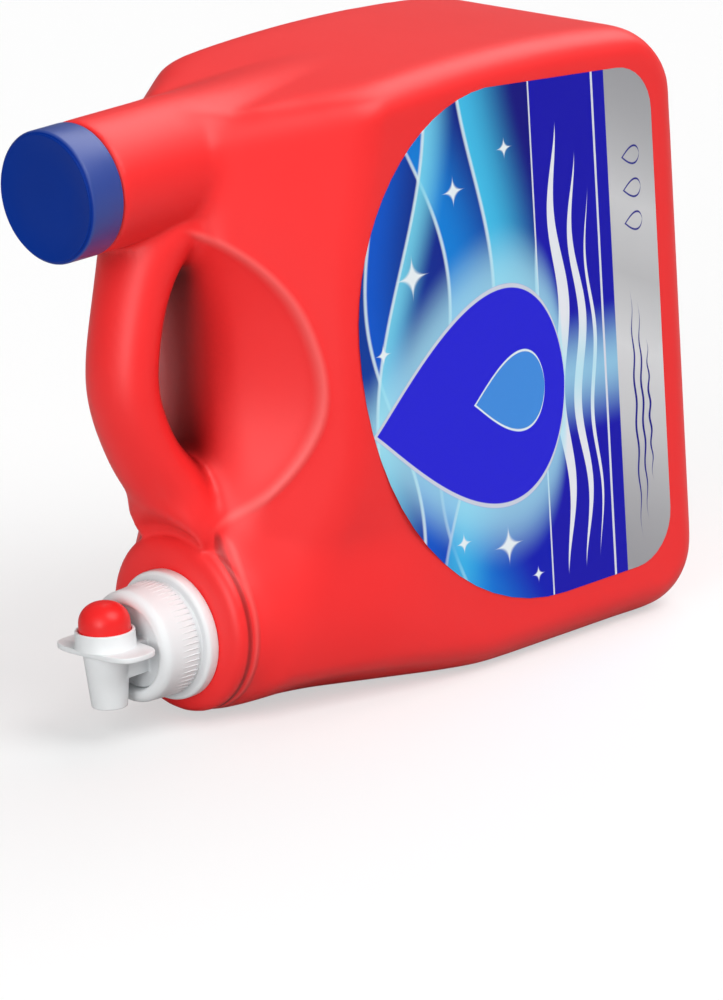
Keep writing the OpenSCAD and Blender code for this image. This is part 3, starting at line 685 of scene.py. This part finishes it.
# %% One rib and its copies round the collar
RIBS = 60
bpy.ops.mesh.primitive_cube_add(size=1, location=at(-9.4, 20.0), scale=(7.4 * MM, 0.56 * MM, 0.75 * MM),
                                rotation=(0, math.radians(-3), 0))
rib = bpy.context.object
bpy.ops.object.transform_apply()
edit_all()
bpy.ops.mesh.bevel(offset=0.24 * MM, segments=2, affect="EDGES")
bpy.ops.mesh.select_all(action="SELECT")
for _ in range(RIBS - 1):
    bpy.ops.mesh.duplicate()
    bpy.ops.transform.rotate(value=math.radians(360 / RIBS), orient_axis="X", center_override=TAP)
bpy.ops.object.mode_set(mode="OBJECT")
shade_round(rib, 60)
pick(collar)
rib.select_set(True)
bpy.ops.object.join()
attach(collar, "bottle")
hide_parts("tap_collar")
print("collar has", len(collar.data.polygons), "faces")

# %% [markdown]
# ## The tap moulding
#
# The tap is injection moulded, so every corner has a small fillet. A fine grid over a copy of the
# frame's solid and a few rounds of smoothing give those fillets all at once, inside and out.

# %% Tap moulding
tap = copy_of("tap_body", "tap_moulding")
voxel_skin(tap, 0.42 * MM)
soften(tap, 5)
shade_round(tap, 180)
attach(tap, "bottle")
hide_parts("tap_body")

# %% [markdown]
# ## The button
#
# A thumb presses the red dome, which a snap ring holds in the barrel. Both are round, so they are
# turned like the cap. The dome is hollow, and the valve's stem pushes up against its inside.

# %% Button ring and button
barrel = at(-30.8)
UPWARD = Vector((0, 0, 1))
ring_outline = (
    [(9.8, 3.42), (11.0, 3.42), (10.72, 4.0), (10.5, 8.9)] + round_corner((10.1, 8.98), 0.4, 0, 90, 5)
    + round_corner((9.75, 9.0), 0.38, 90, 180, 4) + [(9.36, 8.25), (9.8, 8.2)])
ring = turned("button_ring", ring_outline + [ring_outline[0]], barrel, UPWARD, 112)
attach(ring, "bottle")
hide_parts("button_retainer")

dome = [(9.1 * math.cos(a) ** 0.9, 11.6 + 7.7 * math.sin(a) ** 0.96)
        for a in (math.radians(90 * i / 20) for i in range(20))] + [(0, 19.3)]
inside = [(0, 18.1), (4.6, 17.3), (6.7, 15.2), (7.0, 12.9), (7.9, 12.9), (7.9, 7.1), (9.55, 7.1), (9.6, 7.9),
          (9.1, 8.0)]
button = turned("button_dome", [(9.1, 8.0)] + dome + inside, barrel, UPWARD, 96)
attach(button, "button")
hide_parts("push_button")
print("button measures", tuple(round(v / MM, 1) for v in button.dimensions), "mm")

# %% [markdown]
# ## Moulded plastic
#
# Polyethylene isn't flat in colour or in gloss. Its skin copies the blasted steel of the mould, its
# pigment clouds slightly, and handling leaves faint marks. One node group makes all three as
# numbers, and each material takes them at its own strength.

# %% The moulded-skin group
def new_group(name, inputs, outputs):
    """A node group of numbers: its tree, the sockets that it is given and those of its result."""
    group = bpy.data.node_groups.new(name, "ShaderNodeTree")
    for direction, labels in (("INPUT", inputs), ("OUTPUT", outputs)):
        for label in labels:
            group.interface.new_socket(name=label, in_out=direction, socket_type="NodeSocketFloat")
    return group, group.nodes.new("NodeGroupInput").outputs, group.nodes.new("NodeGroupOutput").inputs


skin_group, given, result = new_group("moulded skin", ["Grain"], ["Grain", "Clouds", "Marks"])
where = add_node(skin_group, "ShaderNodeTexCoord").outputs["Object"]
grain = add_node(skin_group, "ShaderNodeTexNoise", in_Vector=where, in_Scale=given["Grain"], in_Detail=2.0)
clouds = add_node(skin_group, "ShaderNodeTexNoise", in_Vector=where, in_Scale=18.0, in_Detail=3.0)
stretched = add_node(skin_group, "ShaderNodeMapping", in_Vector=where, in_Rotation=(0.4, 0.9, 0.3),
                     in_Scale=(1.0, 0.12, 1.0))
marks = add_node(skin_group, "ShaderNodeTexNoise", in_Vector=stretched.outputs[0], in_Scale=60.0,
                 in_Detail=6.0, in_Roughness=0.7)
feed(skin_group, result["Grain"], grain.outputs["Fac"])
feed(skin_group, result["Clouds"], smooth_step(skin_group, clouds.outputs["Fac"], 0.3, 0.7))
feed(skin_group, result["Marks"], smooth_step(skin_group, marks.outputs["Fac"], 0.56, 0.74))

GRAIN_DEPTH = 0.2 * MM
SHADE_REACH = 50 * MM  # how far a fold may be from open air before it gets painted shade


def moulded_plastic(name, colour, cloudy, roughness, grain=1500.0, bump=0.12, gloss=0.3, painted_fold_shade=None):
    """A plastic: its colour, what it clouds towards, its roughness, grain, gloss and the colour of painted
    shade in deep folds.

    Deep folds, found by ambient occlusion, get that painted shade and lose their gloss."""
    material, tree, shader = new_material(name)
    skin = add_node(tree, "ShaderNodeGroup", node_tree=skin_group, in_Grain=grain).outputs
    tint = mix_colour(tree, skin["Clouds"], colour, cloudy)
    # painted shade: folds found by ambient occlusion are darkened towards the fold colour, and lose gloss
    if painted_fold_shade:
        fold_occlusion = add_node(tree, "ShaderNodeAmbientOcclusion", samples=16, only_local=True,
                            in_Distance=SHADE_REACH)
        unshaded_share = smooth_step(tree, fold_occlusion.outputs["AO"], 0.22, 0.85)
        tint = mix_colour(tree, unshaded_share, painted_fold_shade, tint)
        feed(tree, shader["Coat Weight"], math_node(tree, "MULTIPLY", unshaded_share, gloss))
        feed(tree, shader["Coat Roughness"], roughness)
    feed(tree, shader["Base Color"], tint)
    feed(tree, shader["Roughness"], math_node(tree, "MULTIPLY_ADD", skin["Marks"], 0.06, roughness))
    feed(tree, shader["Specular IOR Level"], 0.06 if painted_fold_shade else gloss)
    dent = add_node(tree, "ShaderNodeBump", in_Strength=bump, in_Distance=GRAIN_DEPTH,
                    in_Height=skin["Grain"])
    feed(tree, shader["Normal"], dent.outputs[0])
    return material


def dress(piece, material):
    piece.data.materials.clear()
    piece.data.materials.append(material)


# the red darkens to a painted shade, a deep red, in its folds and in the finger hole
red = moulded_plastic("red bottle plastic", linear(254, 39, 40), linear(252, 35, 36), 0.48, bump=0.08,
                      gloss=1.0, painted_fold_shade=linear(84, 4, 7))
blue = moulded_plastic("blue cap plastic", linear(3, 50, 146), linear(2, 47, 141), 0.4, bump=0.08, gloss=0.1)
# the white tap darkens to a painted shade, a pale grey, in its folds
white = moulded_plastic("white tap plastic", linear(241, 244, 245), linear(238, 241, 242), 0.42, bump=0.06,
                        gloss=0.5, painted_fold_shade=linear(196, 198, 201))
button_red = moulded_plastic("red button plastic", linear(248, 46, 46), linear(242, 38, 38), 0.36, bump=0.05)

# %% [markdown]
# ## Groove, bead and pinched ridge
#
# A groove and a bead ring the boss behind the tap's collar, and a pinched ridge runs round the scoop.
# They are finer than the grid of the skin, so the red plastic draws them with a bump, with a painted
# shade in the groove and a painted highlight on the bead and the ridge. The ridge lies where the scoop
# meets the cheeks, so its group follows the same planes as half_thickness.

# %% The groove that rings the boss
groove_group, given, result = new_group("ring groove", ["Place X", "Half Width", "Reach"], ["Groove"])
calc = partial(math_node, groove_group)
place = own_place(groove_group)
from_axis = off_axis(groove_group, place, TAP.z + BOSS_Z * MM)
off = calc("ABSOLUTE", calc("SUBTRACT", place["X"], given["Place X"]))
across = fade_out(groove_group, off, 0.0, given["Half Width"])
near = fade_out(groove_group, from_axis, calc("SUBTRACT", given["Reach"], 0.003), given["Reach"])
feed(groove_group, result["Groove"], calc("MULTIPLY", across, near))
print("groove group has", len(groove_group.nodes), "nodes")


# %% The cap's side: a lighter blue painted for the light on it, and a coat
def parts_of(material):
    """A material's tree and the sockets of its shader."""
    return material.node_tree, material.node_tree.nodes["Principled BSDF"].inputs


def given_to(socket):
    """What a socket is linked from."""
    return socket.links[0].from_socket


tree, shader = parts_of(blue)
cap_side = smooth_step(tree, off_axis(tree, own_place(tree), TAP.z + NECK_Z * MM), 22.6 * MM, 23.2 * MM)
# painted light: the side of the cap is a lighter blue than its face, for how the lamps fall on it
painted_lit_blue = mix_colour(tree, cap_side, given_to(shader["Base Color"]), linear(42, 70, 152))
feed(tree, shader["Base Color"], painted_lit_blue)
feed(tree, shader["Coat Weight"], cap_side)
feed(tree, shader["Coat Roughness"], 0.45)

# %% The painted highlight line on the pinched ridge round the scoop
RIDGE_HALF = 2.1  # millimetres
# the Line of this group is both the ridge's bump and the mask of its painted highlight
pinch_group, _, result = new_group("pinched ridge", [], ["Line"])
calc, step = partial(math_node, pinch_group), partial(smooth_step, pinch_group)
place = own_place(pinch_group)


def in_mm(axis):
    """One coordinate of the place, in millimetres from the tap's axis."""
    return calc("DIVIDE", calc("SUBTRACT", place[axis], TAP["XYZ".index(axis)]), MM)


def plane_nodes(slope, lean, past, level):
    """The same as plane, in nodes: a start and a climb along x and z."""
    start = HALF - slope * ((PANEL_X + past) * math.cos(lean) + level * math.sin(lean))
    climb = calc("MULTIPLY_ADD", side_x, slope * math.cos(lean), start)
    return calc("MULTIPLY_ADD", side_z, slope * math.sin(lean), climb)


def square(value):
    return calc("MULTIPLY", value, value)


side_x, side_z = in_mm("X"), in_mm("Z")
front, upper, lower = plane_nodes(*FRONT), plane_nodes(*UPPER), plane_nodes(*LOWER)
cheeks = calc("SMOOTH_MIN", calc("SMOOTH_MIN", front, upper, CHEEK_BLEND), lower, CHEEK_BLEND)
cone = calc("MULTIPLY_ADD", calc("MAXIMUM", calc("SUBTRACT", side_x, CONE_X), 0.0), CONE_SLOPE, BOSS_R)
lift = calc("SUBTRACT", side_z, BOSS_Z)
boss = calc("SQRT", calc("MAXIMUM", calc("SUBTRACT", square(cone), square(lift)), 0.0))
swollen = calc("SMOOTH_MAX", cheeks, boss, BOSS_BLEND)
reach = calc("SQRT", calc("ADD", calc("POWER", calc("SUBTRACT", side_x, SCOOP[0]), 2.0),
                          calc("POWER", calc("SUBTRACT", side_z, SCOOP[1]), 2.0)))
scoop_r = calc("MULTIPLY_ADD", step(side_z, SLIM_Z, FULL_Z), SCOOP_GROW, SCOOP_R)
scoop = calc("SUBTRACT", calc("ADD", front, reach), scoop_r)
off = calc("ABSOLUTE", calc("SUBTRACT", calc("SUBTRACT", swollen, scoop), 0.5))
line = fade_out(pinch_group, off, 0.0, RIDGE_HALF)
# the line runs out at the panel, at the foot of the scoop and at the neck
ends = calc("MULTIPLY", step(scoop, HALF - 1.0, HALF - 8.0), step(side_z, 37.0, 44.0))
side_y, over_neck = in_mm("Y"), calc("SUBTRACT", side_z, NECK_Z)
off_neck = calc("SQRT", calc("ADD", square(side_y), square(over_neck)))
ends = calc("MULTIPLY", ends, step(off_neck, NECK_R + 1.5, NECK_R + 6.0))
feed(pinch_group, result["Line"], calc("MULTIPLY", line, ends))
print("ridge group has", len(pinch_group.nodes), "nodes")

# %% Groove and ridge in the red plastic
GROOVE_X, BEAD_X = 7.4 * MM, 10.2 * MM
tree, shader = parts_of(red)
ring_like = {"node_tree": groove_group, "in_Half_Width": 1.5 * MM, "in_Reach": 40 * MM}
groove = add_node(tree, "ShaderNodeGroup", **ring_like, in_Place_X=TAP.x + GROOVE_X).outputs[0]
carved = add_node(tree, "ShaderNodeBump", invert=True, in_Strength=1.0, in_Distance=0.9 * MM,
                  in_Height=groove, in_Normal=given_to(shader["Normal"]))
bead = add_node(tree, "ShaderNodeGroup", **ring_like, in_Place_X=TAP.x + BEAD_X).outputs[0]
ridge = add_node(tree, "ShaderNodeGroup", node_tree=pinch_group).outputs[0]
raised = add_node(tree, "ShaderNodeBump", in_Strength=1.0, in_Distance=0.5 * MM, in_Normal=carved.outputs[0],
                  in_Height=math_node(tree, "ADD", ridge, bead))
feed(tree, shader["Normal"], raised.outputs[0])
# painted shade: the groove is darkened towards a deep red
shaded = mix_colour(tree, math_node(tree, "MULTIPLY", groove, 0.6), given_to(shader["Base Color"]),
                    linear(120, 8, 10))
# painted highlight: the bead and the pinched ridge are lightened towards a pale red
painted_highlight = math_node(tree, "MAXIMUM", math_node(tree, "MULTIPLY", bead, 0.3),
                   math_node(tree, "MULTIPLY", ridge, 0.38))
feed(tree, shader["Base Color"], mix_colour(tree, painted_highlight, shaded, linear(255, 128, 124)))
for piece, material in ((bottle, red), (cap, blue), (collar, white), (tap, white), (ring, white),
                        (button, button_red)):
    dress(piece, material)

# %% [markdown]
# ## The pieces inside
#
# The liner, the gasket, the seal, the plug, the stem and its clip hardly show. The frame's own solids
# serve for them, dressed in foam, rubber and plastic. The spring gets drawn steel, with a fine grain.

# %% Materials of the pieces inside
stem_white = moulded_plastic("white stem plastic", linear(233, 233, 230), linear(224, 225, 222), 0.45)
foam = moulded_plastic("liner foam", linear(236, 236, 230), linear(226, 226, 220), 0.85,
                       grain=900.0, bump=0.5)
grey_rubber = moulded_plastic("grey gasket rubber", linear(168, 170, 174), linear(156, 158, 162), 0.7,
                              grain=2200.0, bump=0.25)
dark_rubber = moulded_plastic("dark seal rubber", linear(58, 60, 64), linear(48, 50, 54), 0.65,
                              grain=2200.0, bump=0.25)
for node, material in (("valve_stem", stem_white), ("stem_clip", stem_white), ("cap_liner", foam),
                       ("neck_gasket", grey_rubber), ("valve_plug", dark_rubber), ("stem_seal", dark_rubber)):
    dress(nodes[node], material)

wire, tree, shader = new_material("spring wire")
where = add_node(tree, "ShaderNodeTexCoord").outputs["Object"]
drawn = add_node(tree, "ShaderNodeTexNoise", in_Vector=where, in_Scale=2600.0, in_Detail=4.0).outputs["Fac"]
feed(tree, shader["Base Color"], mix_colour(tree, drawn, linear(190, 192, 196), linear(150, 152, 158)))
feed(tree, shader["Roughness"], math_node(tree, "MULTIPLY_ADD", drawn, 0.2, 0.22))
feed(tree, shader["Metallic"], 1.0)
print("materials so far:", [material.name for material in bpy.data.materials])

# %% [markdown]
# ## The return spring
# The spring that lifts the button is a steel wire wound on a rod. A curve with a bevel would draw it
# too, but the Screw modifier makes the same motion as the winding: it carries the wire's round
# section along the rod as it turns. As the button goes down the coil is squashed, its lower end held.

# %% Return spring
WIRE_R, COILS = 0.45 * MM, 3.5
low, high = (Vector(corner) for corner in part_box("return_spring"))
foot = Vector(((low.x + high.x) / 2, (low.y + high.y) / 2, low.z + WIRE_R))
bpy.ops.mesh.primitive_circle_add(vertices=12, radius=WIRE_R, location=foot, rotation=(math.pi / 2, 0, 0))
spring = bpy.context.object
spring.name = spring.data.name = "spring_coil"
bpy.ops.object.transform_apply(location=False)
edit_all()
bpy.ops.transform.translate(value=((high.x - low.x) / 2 - WIRE_R, 0, 0))
bpy.ops.object.mode_set(mode="OBJECT")
winding = spring.modifiers.new("winding", "SCREW")
winding.angle = COILS * 2 * math.pi
winding.screw_offset = high.z - low.z - 2 * WIRE_R
winding.steps = winding.render_steps = round(32 * COILS)
bpy.ops.object.modifier_apply(modifier=winding.name)
bpy.ops.object.transform_apply()
edit_all()
bpy.ops.mesh.remove_doubles(threshold=MERGE)
bpy.ops.mesh.fill_holes(sides=0)
bpy.ops.mesh.select_all(action="SELECT")
bpy.ops.mesh.normals_make_consistent(inside=False)
bpy.ops.object.mode_set(mode="OBJECT")
shade_round(spring, 50)
dress(spring, wire)
print("spring measures", tuple(round(side / MM, 2) for side in spring.dimensions), "mm")
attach(spring, "bottle")
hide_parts("return_spring")
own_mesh(spring)

# %% [markdown]
# ## The printed label
#
# The label is a D-shaped film, round towards the handle and straight towards the base. It is printed
# in blue with bright cyan, and has a silver band along its straight edge. The print is drawn by
# formula on the film's own plane: X runs towards the silver band and Z runs up. Each motif is a
# small group that turns a place into a mask between 0 and 1.

# %% Motif: a soft wave ribbon
wave_group, given, result = new_group(
    "wave ribbon", ["X", "Z", "Level", "Slope", "Swing", "Length", "Shift", "Width"], ["Ribbon", "Crest"])
calc, step = partial(math_node, wave_group), partial(smooth_step, wave_group)
turns = calc("DIVIDE", given["Z"], given["Length"])
angle = calc("MULTIPLY_ADD", turns, 2 * math.pi, given["Shift"])
swing = calc("MULTIPLY", calc("SINE", angle), given["Swing"])
line = calc("MULTIPLY_ADD", given["Z"], given["Slope"], given["Level"])
gap = calc("SUBTRACT", given["X"], calc("ADD", line, swing))
fade = fade_out(wave_group, calc("DIVIDE", gap, given["Width"]), 0.0, 1.0)
edge = step(gap, -0.0003, 0.0003)
crest = fade_out(wave_group, calc("ABSOLUTE", gap), 0.0002, 0.0012)
feed(wave_group, result["Ribbon"], calc("MULTIPLY", fade, edge))
feed(wave_group, result["Crest"], crest)

# %% Motif: a drop with a rim
FULLNESS = 1.28  # makes up for what the bowl and the taper take from the width
MIDDLE = ["X", "Z", "Middle X", "Middle Z"]
drop_group, given, result = new_group(
    "rimmed drop", MIDDLE + ["Half Length", "Half Width", "Rim"], ["Inside", "Rim", "Glow"])
calc, step = partial(math_node, drop_group), partial(smooth_step, drop_group)
along = calc("DIVIDE", calc("SUBTRACT", given["X"], given["Middle X"]), given["Half Length"])
across = calc("ABSOLUTE", calc("SUBTRACT", given["Z"], given["Middle Z"]))
bowl = calc("SQRT", calc("MAXIMUM", calc("SUBTRACT", 1.0, calc("MULTIPLY", along, along)), 0.0))
taper = calc("POWER", calc("MULTIPLY_ADD", along, 0.5, 0.5, clamp=True), 0.62)
width = calc("MULTIPLY", calc("MULTIPLY", calc("MULTIPLY", bowl, taper), given["Half Width"]), FULLNESS)
inset = calc("SUBTRACT", calc("SUBTRACT", width, across), 0.0004)
filled = step(inset, -0.0002, 0.0002)
past_rim = step(inset, calc("SUBTRACT", given["Rim"], 0.0002), calc("ADD", given["Rim"], 0.0002))
feed(drop_group, result["Inside"], filled)
feed(drop_group, result["Rim"], calc("SUBTRACT", filled, past_rim))
feed(drop_group, result["Glow"], step(inset, -0.024, 0.0))

# %% Motif: a tapered brush stroke that swings as it runs
stroke_group, given, result = new_group(
    "brush stroke", MIDDLE + ["Half Length", "Half Width", "Swing", "Turns"], ["Stroke"])
calc = partial(math_node, stroke_group)
along = calc("DIVIDE", calc("SUBTRACT", given["Z"], given["Middle Z"]), given["Half Length"])
angle = calc("MULTIPLY", calc("MULTIPLY", along, given["Turns"]), math.pi)
line = calc("MULTIPLY_ADD", calc("SINE", angle), given["Swing"], given["Middle X"])
off = calc("ABSOLUTE", calc("SUBTRACT", given["X"], line))
taper = calc("MAXIMUM", calc("SUBTRACT", 1.0, calc("MULTIPLY", along, along)), 0.0)
width = calc("MULTIPLY", taper, given["Half Width"])
inset = calc("SUBTRACT", calc("SUBTRACT", width, off), 0.0002)
feed(stroke_group, result["Stroke"], smooth_step(stroke_group, inset, -0.0001, 0.0001))

# %% Motif: a four-pointed sparkle
spark_group, given, result = new_group("sparkle", MIDDLE + ["Reach"], ["Spark"])
calc = partial(math_node, spark_group)
parts = []
for axis in ("X", "Z"):
    off = calc("ABSOLUTE", calc("SUBTRACT", given[axis], given["Middle " + axis]))
    parts.append(calc("SQRT", calc("DIVIDE", off, given["Reach"])))
feed(spark_group, result["Spark"], fade_out(spark_group, calc("ADD", *parts), 0.72, 1.0))
print("motifs:", [group.name for group in (wave_group, drop_group, stroke_group, spark_group)])

# %% The label's print
film, tree, shader = new_material("printed label film")
place = own_place(tree)
px, pz = place["X"], place["Z"]


def motif(group, **values):
    """One motif on the label: its group with the place of the point that is being coloured."""
    return add_node(tree, "ShaderNodeGroup", node_tree=group, in_X=px, in_Z=pz, **values).outputs


def paint(ink, share, colour, strength=1.0):
    if strength < 1:
        share = math_node(tree, "MULTIPLY", share, strength)
    return mix_colour(tree, share, ink, colour)


# deep blue ground, darker towards the top and greener towards the round edge
ink = mix_colour(tree, smooth_step(tree, pz, 0.02, 0.21), linear(10, 24, 186), linear(14, 10, 130))
ink = paint(ink, fade_out(tree, px, -0.03, 0.03), linear(2, 66, 160), 0.8)
waves = [
    # level, slope, swing, length, shift, width, colour, strength
    (0.040, 0.16, 0.012, 0.230, 0.6, 0.052, linear(4, 74, 214), 0.85),
    (0.018, -0.14, 0.010, 0.170, 2.3, 0.034, linear(10, 142, 236), 0.85),
    (0.004, 0.10, 0.012, 0.210, 4.0, 0.028, linear(72, 206, 250), 0.90),
    (-0.014, -0.08, 0.008, 0.150, 5.2, 0.022, linear(4, 92, 214), 0.90),
    (-0.034, 0.12, 0.009, 0.190, 1.2, 0.016, linear(124, 224, 250), 0.85)]
for level, slope, swing, length, shift, width, colour, strength in waves:
    ribbon = motif(wave_group, in_Level=level, in_Slope=slope, in_Swing=swing, in_Length=length,
                   in_Shift=shift, in_Width=width)
    ink = paint(ink, ribbon["Ribbon"], colour, strength)
    ink = paint(ink, ribbon["Crest"], linear(226, 246, 254), 0.8)

# %% Plain band, brush strokes and the drop
in_band = smooth_step(tree, px, 0.0512, 0.0515)
ink = paint(ink, in_band, linear(20, 14, 178))


def fine_line(ink, x, half):
    """A pale upright line at x, with its half width; its edge is a tenth of a millimetre soft."""
    off = math_node(tree, "ABSOLUTE", math_node(tree, "SUBTRACT", px, x))
    return paint(ink, fade_out(tree, off, half - 0.0001, half + 0.0001), linear(226, 230, 242))


ink = fine_line(ink, 0.0513, 0.00035)
for x, z, length, width, swing, turns in (
        (0.0615, 0.108, 0.084, 0.0030, 0.0022, 2.5), (0.0705, 0.102, 0.078, 0.0022, 0.0022, 2.5),
        (0.0770, 0.096, 0.072, 0.0011, 0.0016, 2.5)):
    stroke = motif(stroke_group, in_Middle_X=x, in_Middle_Z=z, in_Half_Length=length, in_Half_Width=width,
                   in_Swing=swing, in_Turns=turns)
    ink = paint(ink, stroke["Stroke"], linear(240, 243, 250))
drop = motif(drop_group, in_Middle_X=0.014, in_Middle_Z=0.098, in_Half_Length=0.048, in_Half_Width=0.043,
             in_Rim=0.0016)
ink = paint(ink, drop["Glow"], linear(176, 238, 255), 0.7)
ink = paint(ink, drop["Inside"], linear(38, 34, 222))
ink = paint(ink, drop["Rim"], linear(214, 220, 234))
inner = motif(drop_group, in_Middle_X=0.034, in_Middle_Z=0.098, in_Half_Length=0.018, in_Half_Width=0.016,
              in_Rim=0.0008)
ink = paint(ink, inner["Inside"], linear(86, 190, 240), 0.55)
ink = paint(ink, inner["Rim"], linear(236, 246, 252))
for x, z, reach in (
        (-0.010, 0.150, 0.010), (0.012, 0.176, 0.007), (0.038, 0.186, 0.005), (-0.026, 0.126, 0.005),
        (0.030, 0.044, 0.009), (0.008, 0.050, 0.005), (0.044, 0.030, 0.004)):
    spark = motif(spark_group, in_Middle_X=x, in_Middle_Z=z, in_Reach=reach)
    ink = paint(ink, spark["Spark"], linear(242, 251, 255))

# %% Silver band, its line and marks, and the film's gloss
slant = math_node(tree, "MULTIPLY_ADD", px, 0.5, pz)
silver = add_node(tree, "ShaderNodeValToRGB", in_Fac=smooth_step(tree, slant, 0.06, 0.26))
ramp = silver.color_ramp
ramp.elements[0].color = linear(176, 176, 180)
ramp.elements[1].color = linear(178, 178, 182)
for spot, grey in ((0.22, 226), (0.42, 244), (0.62, 214), (0.8, 232)):
    stop = ramp.elements.new(spot)
    stop.color = linear(grey, grey, grey + 2)
on_band = smooth_step(tree, px, 0.0891, 0.0894)
ink = mix_colour(tree, on_band, ink, silver.outputs["Color"])
ink = fine_line(ink, 0.0830, 0.0005)
for z in (0.170, 0.158, 0.146):
    mark = motif(drop_group, in_Middle_X=0.1005, in_Middle_Z=z, in_Half_Length=0.0048, in_Half_Width=0.0042,
                 in_Rim=0.0007)
    ink = paint(ink, mark["Rim"], linear(24, 26, 150))
for x, length in ((0.0975, 0.052), (0.1010, 0.046), (0.1045, 0.030)):
    stroke = motif(stroke_group, in_Middle_X=x, in_Middle_Z=0.076, in_Half_Length=length,
                   in_Half_Width=0.0007, in_Swing=0.0004, in_Turns=6.0)
    ink = paint(ink, stroke["Stroke"], linear(26, 28, 150))
feed(tree, shader["Base Color"], ink)
skin = add_node(tree, "ShaderNodeGroup", node_tree=skin_group, in_Grain=700.0).outputs
feed(tree, shader["Roughness"], math_node(tree, "MULTIPLY_ADD", skin["Marks"], 0.08, 0.3))
feed(tree, shader["Metallic"], math_node(tree, "MULTIPLY", on_band, 0.35))
feed(tree, shader["Specular IOR Level"], 0.2)
dent = add_node(tree, "ShaderNodeBump", in_Strength=0.05, in_Distance=GRAIN_DEPTH, in_Height=skin["Grain"])
feed(tree, shader["Normal"], dent.outputs[0])
dress(nodes["front_label"], film)
print("label print has", len(tree.nodes), "nodes")

# %% Bounds of the shown pieces
low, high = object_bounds()
